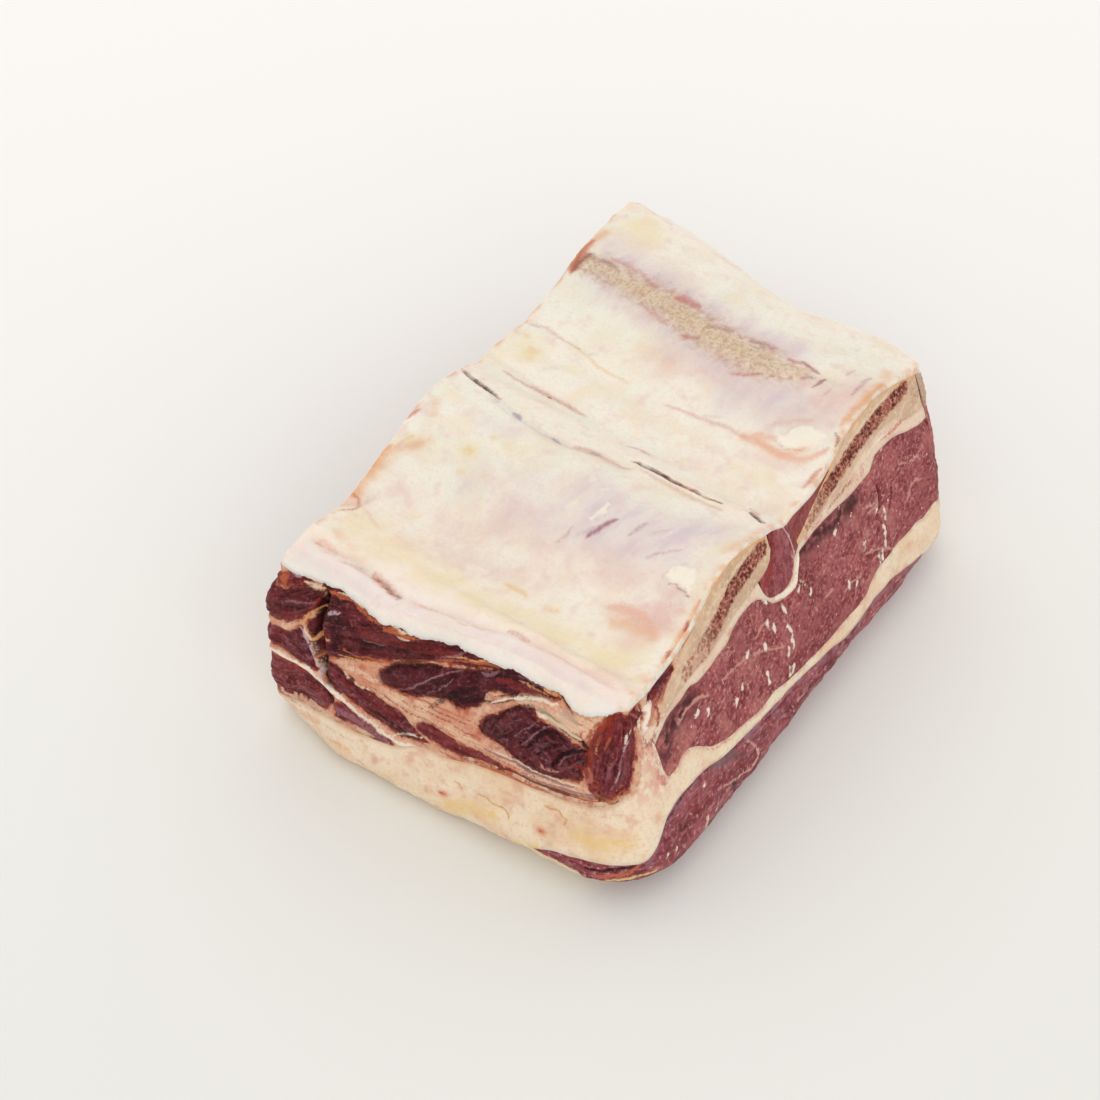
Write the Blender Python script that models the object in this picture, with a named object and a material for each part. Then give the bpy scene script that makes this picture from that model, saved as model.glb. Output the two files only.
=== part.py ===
"""Raw beef short ribs: one block cut across two flat ribs, lying on its outer fat side.

X runs along the ribs, so both X ends are sawn faces that show the bones in section. Y runs across the ribs,
and both Y sides are knife cuts between ribs. Z is up. Every layer runs through the whole block.
The section sizes are in centimetres. SCALE turns them into metres.
"""

import bpy
import numpy as np

SCALE = 0.01
GAP = 0.03  # between neighbouring layers
OBJECT = "raw_beef_short_ribs"

# The block's four sides, each as its distance from the middle at a height (height, distance).
SAWN_RIGHT = (
    (0, 5.63), (0.21, 5.93), (0.6, 6.06), (1.03, 6.02), (1.72, 5.89), (2.58, 5.63), (3.44, 5.29),
    (4.3, 4.95), (5.16, 4.58), (6.19, 4.21),
)
SAWN_LEFT = ((0, 5.42), (0.26, 5.68), (0.86, 5.8), (2.58, 5.85), (3.87, 5.8), (5.16, 5.59), (6.19, 5.46))
KNIFE_FRONT = (
    (0, 8.6), (0.21, 8.77), (0.6, 8.77), (1.03, 8.69), (1.72, 8.56), (2.58, 8.34), (3.44, 8.13),
    (4.3, 7.91), (5.16, 7.65), (6.02, 7.22),
)
# The front cut at its left end
KNIFE_FRONT_LEFT = (
    (0, 8.04), (0.52, 8.21), (1.03, 8.21), (3.87, 8.17), (4.47, 8.04), (5.16, 7.83), (6.02, 7.4),
)
# How far the foot of the block curves in under the front cut (by station) and the sawn right end (by s)
UNDERCUT_FRONT = ((0, 0.3), (0.5, 0.3), (0.62, 0.6), (0.8, 0.85), (1, 1.0))
UNDERCUT_RIGHT = (
    (-7.74, 1.0), (-6.5, 0.75), (-5.3, 0.45), (-2.5, 0.4), (-1.2, 0.8), (1.4, 0.9), (3.0, 0.6), (4.2, 0.4),
    (5.1, 0.7), (7.74, 0.9),
)
UNDERCUT_HEIGHT = 1.2
KNIFE_BACK = ((0, 6.54), (0.43, 7.01), (1.29, 7.27), (2.58, 7.35), (4.3, 7.44), (5.59, 7.48), (6.19, 7.4))
CORNER_RADIUS = ((0, 1.7), (1.7, 1.45), (3.4, 0.86), (6, 0.3))
CORNER_SHARE = {(1, -1): 1.0, (-1, -1): 0.25, (1, 1): 0.9, (-1, 1): 0.5}  # (right or left, front or back)
STRETCH = 2.58  # width of the strips next to the knife cuts that follow the cut's slope
# The section coordinate s at the two knife cuts. Between them s is the place across the sawn right end.
FRONT, BACK = -7.74, 7.74
# How far the other end of a layer lies behind the same s of the sawn right end
LEFT_SHIFT = (
    (-7.74, 0), (-6.88, 0.77), (-5.16, 0.43), (-4.3, 0.26), (-0.43, 0.43), (0.6, 0.86), (4.47, 1.2),
    (7.74, 1.38),
)

# The two ribs under the top sheet: (left end, right end)
RIB_RISE = ((1.25, 0.77), (0.69, 0.69))
RIB_CREST = ((-1.63, -2.06), (6.02, 4.56))
RIB_SPREAD = ((2.24, 2.24), (2.58, 2.41))
SHEET_LEVEL = (5.03, 5.59)
SHEET_ROLL = ((0.43, 0.17), (0.21, 0.1))  # rise towards the front cut and fall towards the back cut
GROOVE_AT, GROOVE_WIDTH, GROOVE_DEPTH = 0.3, 0.34, (0.3, 0.1)
SHEET_THICK = (
    (-7.74, 0.28), (-6.88, 0.24), (-5.59, 0.21), (-3.96, 0.17), (-1.72, 0.12), (0.26, 0.14),
    (1.98, 0.21), (3.44, 0.12), (6.02, 0.12), (7.74, 0.3),
)

# Bones as they show in the sawn right end: top and underside.
FRONT_BONE = (-5.93, -0.52)
FRONT_BONE_TOP = ((-5.93, 4.73), (-5.5, 5.03), (-4.99, 5.29), (-4.47, 5.5), (-3.96, 5.72))
FRONT_BONE_FLOOR = (
    (-5.93, 4.62), (-4.64, 4.79), (-3.44, 4.84), (-2.06, 5.0), (-1.29, 5.03), (-0.77, 5.18),
    (-0.52, 5.34),
)
BACK_BONE = (0.77, 7.14)
BACK_BONE_TOP = ((0.77, 5.03), (1.38, 5.25), (1.98, 5.5), (2.58, 5.72))
BACK_BONE_FLOOR = (
    (0.77, 4.83), (1.89, 4.95), (3.01, 4.99), (4.21, 5.2), (5.5, 5.12), (6.11, 4.77), (7.14, 4.64),
)

# Muscles and fat in the same end.
MIDDLE_MUSCLE = (-1.2, 1.98)
MIDDLE_MUSCLE_FLOOR = (
    (-1.2, 4.71), (-0.86, 4.33), (-0.47, 4.18), (-0.09, 4.26), (0.28, 4.62), (0.77, 4.82),
)
FRONT_MUSCLE = (-7.74, -4.47)
MAIN_MUSCLE = (-6.28, 7.74)
MAIN_TOP = (
    (-6.45, 4.21), (-5.93, 4.48), (-4.47, 4.52), (-3.1, 4.58), (-2.06, 4.76), (-1.6, 4.7), (-1.2, 4.5),
    (-0.86, 4.13), (-0.43, 3.96), (0.6, 4.56),
    (3.01, 4.58), (4.47, 4.82), (5.25, 4.73), (6.97, 4.3),
)
RIB_FAT = (-6.97, 7.14)
SEAM_TOP = (
    (-6.28, 3.4), (-5.59, 3.23), (-4.64, 2.68), (-3.87, 2.41), (-1.98, 2.17), (0.34, 1.76),
    (2.58, 1.72), (4.04, 2.02), (6.02, 1.89), (7.74, 1.63),
)
FAT_COLUMN = (-6.97, -6.54)
COLUMN_TOP, COLUMN_CAP = (4.21, 4.47), 0.43
SEAM_FLOOR = (
    (-7.74, 1.38), (-7.31, 1.89), (-6.45, 2.24), (-5.16, 2.11), (-2.58, 1.81), (0, 1.42), (2.58, 1.16),
    (4.47, 0.99), (6.02, 0.6), (7.74, 0.52),
)
# Along the front knife cut, from the left end (0) to the right end (1)
FRONT_FAT_TOP = (
    (0, 0.77), (0.13, 1.29), (0.33, 1.55), (0.46, 2.06), (0.6, 2.49), (0.75, 2.71), (0.88, 2.97),
    (1, 3.27),
)
BASE_REACH = ((0.5, 1.89), (0.8, 0))  # how far from the front cut the base muscle is thinned away
BASE_FRONT_TOP = ((0.6, 0.77), (0.75, 0.86), (1, 1.38))
BASE_EDGE = 0.1  # what is left of it there

STATIONS = np.linspace(0, 1, 11)  # along the ribs, from the left end to the right end
MIDDLE = (0.081, 0.042)  # of the finished block's box, which the origin lies under
KNOTS = np.array([
    -7.74, -7.48, -7.22, -6.97, -6.75, -6.54, -6.28, -5.93, -5.5, -4.99, -4.47, -3.96, -3.1, -2.06,
    -1.2, -0.86, -0.52, -0.26, 0.09, 0.43, 0.77, 1.38, 1.98, 2.58, 3.44, 4.21, 4.9, 5.5, 6.11, 6.71,
    7.14, 7.4, 7.74,
])


def along(value, table):
    heights, sizes = zip(*table)
    return np.interp(value, heights, sizes)


def between(a, pair):
    return pair[0] + (pair[1] - pair[0]) * a


def smooth(value, low, high):
    t = np.clip((value - low) / (high - low), 0, 1)
    return t * t * (3 - 2 * t)


def top(s, a):
    """The outside of the top sheet: two low humps over the ribs and the groove between them."""
    height = between(a, SHEET_LEVEL) + 0 * s
    for rise, crest, spread in zip(RIB_RISE, RIB_CREST, RIB_SPREAD):
        height = height + between(a, rise) * np.exp(-(((s - between(a, crest)) / between(a, spread)) ** 2))
    height = height - between(a, GROOVE_DEPTH) * np.exp(-(((s - GROOVE_AT) / GROOVE_WIDTH) ** 2))
    height = height + between(a, SHEET_ROLL[0]) * smooth(-s, 4.73, 6.88) - 0.09 * smooth(-s, 7.14, -FRONT)
    return height - between(a, SHEET_ROLL[1]) * smooth(s, BACK_BONE[1], BACK)


def lift(s, a):
    """How much lower or higher a layer near the ribs lies than in the sawn right end."""
    return (top(s, a) - top(s, 1.0)) * smooth(s, -7.4, -6.02)


def sheet_floor(s, a):
    return top(s, a) - along(s, SHEET_THICK)


def front_bone_top(s, a):
    return np.where(s > FRONT_BONE_TOP[-1][0], sheet_floor(s, a), along(s, FRONT_BONE_TOP) + lift(s, a))


def front_bone_floor(s, a):
    return along(s, FRONT_BONE_FLOOR) + lift(s, a)


def back_bone_top(s, a):
    return np.where(s > BACK_BONE_TOP[-1][0], sheet_floor(s, a), along(s, BACK_BONE_TOP) + lift(s, a))


def back_bone_floor(s, a):
    return along(s, BACK_BONE_FLOOR) + lift(s, a)


def middle_muscle_top(s, a):
    return np.where(s > FRONT_BONE[1] + 0.01, sheet_floor(s, a), front_bone_floor(s, a))


def middle_muscle_floor(s, a):
    open_floor = along(s, MIDDLE_MUSCLE_FLOOR) + lift(s, a)
    return np.where(s > BACK_BONE[0] - 0.01, back_bone_top(s, a), open_floor)


def rib_fat_top(s, a):
    """Follows the underside of whatever lies on it: front muscle, bone, middle muscle, bone."""
    edge = between(a, COLUMN_TOP) + COLUMN_CAP
    before = edge + (front_bone_floor(s, a) - edge) * smooth(s, RIB_FAT[0], FRONT_BONE[0])
    height = np.where(s < FRONT_BONE[0], before, front_bone_floor(s, a))
    height = np.where(s > MIDDLE_MUSCLE[0] - 0.01, along(s, MIDDLE_MUSCLE_FLOOR) + lift(s, a), height)
    return np.where(s > BACK_BONE[0] + 0.01, back_bone_floor(s, a), height)


def main_top(s, a):
    under_ribs = along(s, MAIN_TOP) + lift(s, a)
    return under_ribs + (sheet_floor(s, a) - under_ribs) * smooth(s, BACK_BONE[1], 7.4)


def fat_top(s, a):
    """The seam under the main muscle, the upright column before it, and the band along the front cut."""
    ridge = between(a, COLUMN_TOP)
    band = along(a, FRONT_FAT_TOP)
    before = band + (ridge - band) * smooth(s, FRONT, FAT_COLUMN[0])
    after = along(s, SEAM_TOP)
    behind = ridge + (after - ridge) * smooth(s, FAT_COLUMN[1], MAIN_MUSCLE[0])
    return np.where(s < FAT_COLUMN[0], before, behind)


def rib_fat_floor(s, a):
    return np.where(s < FAT_COLUMN[1] + 0.01, between(a, COLUMN_TOP), main_top(s, a))


def front_muscle_floor(s, a):
    over_fat = np.where(s < FAT_COLUMN[0], fat_top(s, a), rib_fat_top(s, a))
    return np.where(s > FRONT_BONE[0] - 0.01, front_bone_top(s, a), over_fat)


def fat_floor(s, a):
    """Rests on the base muscle, which thins out towards the left of the front cut."""
    bare = FRONT + along(a, BASE_REACH)
    front = along(a, BASE_FRONT_TOP)
    inside = along(s, SEAM_FLOOR)
    height = front + (inside - front) * smooth(s, FRONT, FAT_COLUMN[1])
    return BASE_EDGE + (height - BASE_EDGE) * smooth(s, bare - 1.4, bare)


def place(a, s, z):
    """The point of the block at station a (0 left, 1 right), section coordinate s and height z."""
    under = np.clip(1 - z / UNDERCUT_HEIGHT, 0, 1) ** 2
    right = along(z, SAWN_RIGHT) - under * along(s, UNDERCUT_RIGHT)
    left = along(z, SAWN_LEFT)
    x = -left + (right + left) * a
    front, front_left = along(z, KNIFE_FRONT), along(z, KNIFE_FRONT_LEFT)
    front = -(front_left + (front - front_left) * smooth(a, 0, 0.25)) + 0.2 * smooth(a, 0.8, 1)
    front = front + under * along(a, UNDERCUT_FRONT)
    back = along(z, KNIFE_BACK) - 0.5 * smooth(a, 0.2, 0.55) * (1 - smooth(a, 0.6, 0.9))
    near, far = FRONT + STRETCH, BACK - STRETCH
    y = np.where(s < near, front + (s - FRONT) / STRETCH * (near - front), s)
    y = np.where(s > far, far + (s - far) / STRETCH * (back - far), y)
    y = y + (1 - a) * along(s, LEFT_SHIFT)
    back = back + (1 - a) * LEFT_SHIFT[-1][1]
    radius = along(z, CORNER_RADIUS)
    for end, side in ((right, 1), (left, -1)):
        for cut, face in ((front, -1), (back, 1)):
            size = radius * CORNER_SHARE[side, face]
            u = np.clip((side * x - end) / size + 1, 0, 1)
            w = np.clip((face * (y - cut)) / size + 1, 0, 1)
            x = x - side * size * u * (1 - np.sqrt(1 - w * w / 2))
            y = y - face * size * w * (1 - np.sqrt(1 - u * u / 2))
    return x - MIDDLE[0], y - MIDDLE[1], z


def knots_of(span):
    inner = KNOTS[(KNOTS > span[0] + 0.02) & (KNOTS < span[1] - 0.02)]
    return np.concatenate([[span[0]], inner, [span[1]]])


def shell(nodes):
    """Vertices and outward quads of the skin of a block of nodes[i, j, k]."""
    number = -np.ones(nodes.shape[:3], int)
    counts = nodes.shape[:3]
    points, quads = [], []

    def vertex(key):
        if number[key] < 0:
            number[key] = len(points)
            points.append(tuple(float(v) for v in nodes[key]))
        return int(number[key])

    for axis in range(3):
        first, second = ((1, 2), (2, 0), (0, 1))[axis]
        for end in (0, counts[axis] - 1):
            for i in range(counts[first] - 1):
                for j in range(counts[second] - 1):
                    ring = []
                    for di, dj in ((0, 0), (1, 0), (1, 1), (0, 1)):
                        key = [0, 0, 0]
                        key[axis], key[first], key[second] = end, i + di, j + dj
                        ring.append(vertex(tuple(key)))
                    quads.append(ring if end else ring[2::-1] + ring[3:])
    return points, quads


def layer(name, span, floor, roof, levels, colour, roughness):
    """One layer of the block as a closed body, between two heights over a span of the section."""
    a, s = np.meshgrid(STATIONS, knots_of(span), indexing="ij")
    low = floor(s, a) + GAP / 2 * (floor is not ground)
    high = roof(s, a) - GAP / 2 * (roof is not top)
    s[:, 0] += GAP / 2 * (span[0] > FRONT)
    s[:, -1] -= GAP / 2 * (span[1] < BACK)
    c = np.linspace(0, 1, levels + 1)
    z = low[..., None] + np.maximum(high - low, 0.04)[..., None] * c
    wide = np.broadcast_to
    nodes = np.stack(place(wide(a[..., None], z.shape), wide(s[..., None], z.shape), z), axis=-1)
    points, quads = shell(nodes * SCALE)
    mesh = bpy.data.meshes.new(name)
    mesh.from_pydata(points, [], quads)
    mesh.validate()
    obj = bpy.data.objects.new(name, mesh)
    parts.objects.link(obj)
    material = bpy.data.materials.new(name)
    material.use_nodes = True
    shader = material.node_tree.nodes["Principled BSDF"]
    shader.inputs["Base Color"].default_value = (*colour, 1)
    shader.inputs["Roughness"].default_value = roughness
    mesh.materials.append(material)
    return obj


def ground(s, a):
    return 0 * s


for old in list(bpy.data.objects):
    bpy.data.objects.remove(old, do_unlink=True)
parts = bpy.data.collections.new(OBJECT)
bpy.context.scene.collection.children.link(parts)

MEAT, DARK_MEAT = (0.27, 0.07, 0.07), (0.16, 0.03, 0.03)
FAT, SHEET, BONE = (0.83, 0.71, 0.52), (0.84, 0.72, 0.62), (0.68, 0.58, 0.47)

# Top sheet: membrane and fat that lines the inside of the rib cage, rolled over the front cut
layer("top_sheet", (FRONT, BACK), sheet_floor, top, 2, SHEET, 0.4)

# The two sawn rib bones
layer("rib_bone_front", FRONT_BONE, front_bone_floor, front_bone_top, 3, BONE, 0.6)
layer("rib_bone_back", BACK_BONE, back_bone_floor, back_bone_top, 3, BONE, 0.6)

# Muscle from between the ribs: half of one at the front cut, and a whole one under the groove
layer("front_muscle", FRONT_MUSCLE, front_muscle_floor, sheet_floor, 4, DARK_MEAT, 0.45)
layer("middle_muscle", MIDDLE_MUSCLE, middle_muscle_floor, middle_muscle_top, 3, MEAT, 0.5)

# Thin fat under the ribs, and the thick muscle below it
layer("rib_fat", RIB_FAT, rib_fat_floor, rib_fat_top, 1, FAT, 0.45)
layer("main_muscle", MAIN_MUSCLE, fat_top, main_top, 3, MEAT, 0.5)

# Fat seam with its upright column and front band, and the base muscle that the block lies on
layer("fat_seam", (FRONT, BACK), fat_floor, fat_top, 3, FAT, 0.45)
layer("base_muscle", (FRONT, BACK), ground, fat_floor, 2, DARK_MEAT, 0.5)
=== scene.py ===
"""Looks of a block of raw beef short ribs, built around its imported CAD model.

Section sizes are in centimetres and become metres when a mesh is made. Across the block runs the section
coordinate s (front knife cut to back knife cut), along the ribs runs the station a (0 left end, 1 right end).
"""

import bpy
import numpy as np
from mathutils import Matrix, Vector
from mathutils.geometry import delaunay_2d_cdt


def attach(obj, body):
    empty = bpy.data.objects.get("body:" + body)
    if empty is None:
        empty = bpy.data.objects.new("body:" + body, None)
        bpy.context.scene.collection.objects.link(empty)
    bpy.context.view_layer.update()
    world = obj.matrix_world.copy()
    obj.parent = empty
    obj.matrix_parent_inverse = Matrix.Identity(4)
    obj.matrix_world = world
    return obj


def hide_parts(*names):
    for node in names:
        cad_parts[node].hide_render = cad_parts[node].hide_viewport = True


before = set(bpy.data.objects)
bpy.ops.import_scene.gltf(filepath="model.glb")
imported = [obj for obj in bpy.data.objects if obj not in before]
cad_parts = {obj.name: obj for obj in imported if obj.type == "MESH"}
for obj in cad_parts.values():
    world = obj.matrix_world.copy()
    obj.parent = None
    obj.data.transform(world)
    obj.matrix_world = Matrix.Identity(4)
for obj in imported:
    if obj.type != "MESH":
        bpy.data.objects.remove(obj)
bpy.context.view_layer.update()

# ------------------------------
# Base muscle: the outermost muscle, which the block lies on. It shows as a dark, fleshy foot under the fat
# at both sawn ends and at the back cut, and thins out under the left of the front cut.
# ------------------------------
CM = 0.01
LENGTH = 11.6  # along the ribs
FRONT, BACK = -7.74, 7.74  # section coordinate of the knife cuts
MIDDLE = (0.081, 0.042)  # the middle of the block's box, moved to the origin

# How far out each side stands, by height
SAWN_RIGHT = (
    (0, 5.6), (0.21, 5.93), (0.6, 6.06), (1.03, 6.02), (1.72, 5.87), (2.58, 5.6), (3.44, 5.27),
    (4.3, 4.93), (5.16, 4.58), (6.19, 4.21),
)
SAWN_LEFT = ((0, 5.42), (0.26, 5.68), (0.86, 5.8), (2.58, 5.85), (3.87, 5.8), (5.16, 5.59), (6.19, 5.46))
KNIFE_FRONT = (
    (0, 8.55), (0.21, 8.77), (0.6, 8.79), (1.03, 8.72), (1.72, 8.56), (2.58, 8.34), (3.44, 8.13),
    (4.3, 7.91), (5.16, 7.65), (6.02, 7.22),
)
KNIFE_FRONT_LEFT = (
    (0, 7.95), (0.52, 8.21), (1.03, 8.24), (3.87, 8.17), (4.47, 8.04), (5.16, 7.83), (6.02, 7.4),
)
KNIFE_BACK = ((0, 6.54), (0.43, 7.01), (1.29, 7.27), (2.58, 7.35), (4.3, 7.44), (5.59, 7.48), (6.19, 7.4))
# How far the sides are drawn in at the foot, along the front cut and along the right end
UNDERCUT_FRONT = ((0, 0.3), (0.5, 0.3), (0.62, 0.6), (0.8, 0.85), (1, 1.0))
UNDERCUT_RIGHT = (
    (-7.74, 1.0), (-6.5, 0.75), (-5.3, 0.45), (-2.5, 0.4), (-1.2, 0.8), (1.4, 0.9), (3.0, 0.6), (4.2, 0.4),
    (5.1, 0.7), (7.74, 0.9),
)
UNDERCUT_HEIGHT = 1.2
# Roundness of the upright corners: a radius by height, and each corner's share of it
CORNER_RADIUS = ((0, 1.7), (1.7, 1.45), (3.4, 0.86), (6, 0.3))
CORNER_SHARE = {(1, -1): 1.0, (-1, -1): 0.25, (1, 1): 0.9, (-1, 1): 0.5}
STRETCH = 2.58  # width of the strip by each cut that takes up the cut's shape
# How far the layers of the left end lie behind those of the right one, by section coordinate
LEFT_SHIFT = (
    (-7.74, 0), (-6.88, 0.77), (-5.16, 0.43), (-4.3, 0.26), (-0.43, 0.43), (0.6, 0.86), (4.47, 1.2),
    (7.74, 1.38),
)
# The seam between this muscle and the fat: its height at the right end, how far behind the front cut it
# starts, its height on that cut and its least height
SEAM_FLOOR = (
    (-7.74, 1.38), (-7.56, 1.9), (-7.17, 2.28), (-6.68, 2.42), (-6.29, 2.5), (-5.7, 2.44), (-5.25, 2.42),
    (-4.67, 2.26), (-3.97, 2.13), (-2.63, 1.99), (-1.5, 1.85), (-0.06, 1.65), (0.68, 1.51), (1.47, 1.33),
    (2.36, 1.4), (2.9, 1.47), (3.47, 1.47), (4.23, 1.26), (5.17, 1.02), (6.02, 0.66), (7.74, 0.52),
)
BASE_REACH = ((0.5, 1.89), (0.8, 0))
BASE_FRONT_TOP = ((0.6, 0.7), (0.68, 0.8), (0.75, 1.1), (0.82, 1.3), (0.9, 1.44), (1, 1.46))
BASE_EDGE = 0.1
FAT_COLUMN = (-6.97, -6.6)  # section coordinates of the fat's upright column

gradients = np.random.default_rng(11).normal(size=(256, 3))
gradients /= np.linalg.norm(gradients, axis=1)[:, None]
shuffle = np.random.default_rng(5).permutation(256)


def noise(points, size, seed=0, octaves=2):
    """Smooth random values, about -1 to 1, at points (n, 3) for features of that size."""
    total = np.zeros(len(points))
    for octave in range(octaves):
        q = points * (2.0**octave / size) + seed * 13.7 + octave * 5.3
        cell = np.floor(q).astype(int)
        f = q - cell
        ease = f * f * f * (f * (f * 6 - 15) + 10)
        value = 0
        for corner in np.ndindex(2, 2, 2):
            x, y, z = ((cell[:, k] + corner[k]) & 255 for k in range(3))
            hashed = shuffle[(shuffle[(shuffle[x] + y) & 255] + z) & 255]
            slope = np.einsum("ij,ij->i", gradients[hashed], f - corner)
            weight = np.prod(np.where(corner, ease, 1 - ease), axis=1)
            value = value + weight * slope
        total += value * 1.6 / 2**octave
    return total


def along(value, table):
    """The table's second number at a value, on a smooth curve through its rows."""
    xs, ys = np.array(table, float).T
    rise = np.diff(ys) / np.diff(xs)
    meet = 2 * rise[:-1] * rise[1:] / np.where(rise[:-1] * rise[1:] > 0, rise[:-1] + rise[1:], np.inf)
    slopes = np.concatenate([rise[:1], meet, rise[-1:]])
    i = np.clip(np.searchsorted(xs, value) - 1, 0, len(xs) - 2)
    h = xs[i + 1] - xs[i]
    t = np.clip((value - xs[i]) / h, 0, 1)
    near = (1 + 2 * t) * (1 - t) ** 2 * ys[i] + t * (1 - t) ** 2 * h * slopes[i]
    return near + t * t * (3 - 2 * t) * ys[i + 1] - t * t * (1 - t) * h * slopes[i + 1]


def smooth(value, low, high):
    """0 below low, 1 above high and a soft step between."""
    t = np.clip((value - low) / (high - low), 0, 1)
    return t * t * (3 - 2 * t)


def bell(value, width):
    """1 at 0, fading to 0 over about that width on either side."""
    return np.exp(-((value / width) ** 2))


def place(a, s, z):
    """The point of the block, in centimetres, at station a, section coordinate s and height z."""
    under = np.clip(1 - z / UNDERCUT_HEIGHT, 0, 1) ** 2
    right = along(z, SAWN_RIGHT) - under * along(s, UNDERCUT_RIGHT)
    left = along(z, SAWN_LEFT)
    x = -left + (right + left) * a
    front, front_left = along(z, KNIFE_FRONT), along(z, KNIFE_FRONT_LEFT)
    front = -(front_left + (front - front_left) * smooth(a, 0, 0.25)) + 0.2 * smooth(a, 0.8, 1)
    front = front + under * along(a, UNDERCUT_FRONT)
    back = along(z, KNIFE_BACK) - 0.5 * smooth(a, 0.2, 0.55) * (1 - smooth(a, 0.6, 0.9))
    near, far = FRONT + STRETCH, BACK - STRETCH
    y = np.where(s < near, front + (s - FRONT) / STRETCH * (near - front), s)
    y = np.where(s > far, far + (s - far) / STRETCH * (back - far), y)
    y = y + (1 - a) * along(s, LEFT_SHIFT)
    back = back + (1 - a) * LEFT_SHIFT[-1][1]
    radius = along(z, CORNER_RADIUS)
    for end, side in ((right, 1), (left, -1)):
        for cut, face in ((front, -1), (back, 1)):
            size = radius * CORNER_SHARE[side, face]
            u = np.clip((side * x - end) / size + 1, 0, 1)
            w = np.clip((face * (y - cut)) / size + 1, 0, 1)
            x = x - side * size * u * (1 - np.sqrt(1 - w * w / 2))
            y = y - face * size * w * (1 - np.sqrt(1 - u * u / 2))
    return np.stack([x - MIDDLE[0], y - MIDDLE[1], z], axis=-1)


def uneven(points):
    """Moves points of the block a little, so that no cut is quite flat. It leaves the underside flat."""
    moved = points.copy()
    for axis in range(3):
        wave = 0.05 * noise(points, 2.6, 3 + axis, 2) + 0.02 * noise(points, 0.8, 7 + axis, 2)
        moved[:, axis] += wave * (smooth(points[:, 2], 0, 0.6) if axis == 2 else 1)
    return moved


def steps(start, stop, size):
    """Even steps of about that size."""
    return np.linspace(start, stop, max(2, int(round((stop - start) / size)) + 1))


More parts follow.
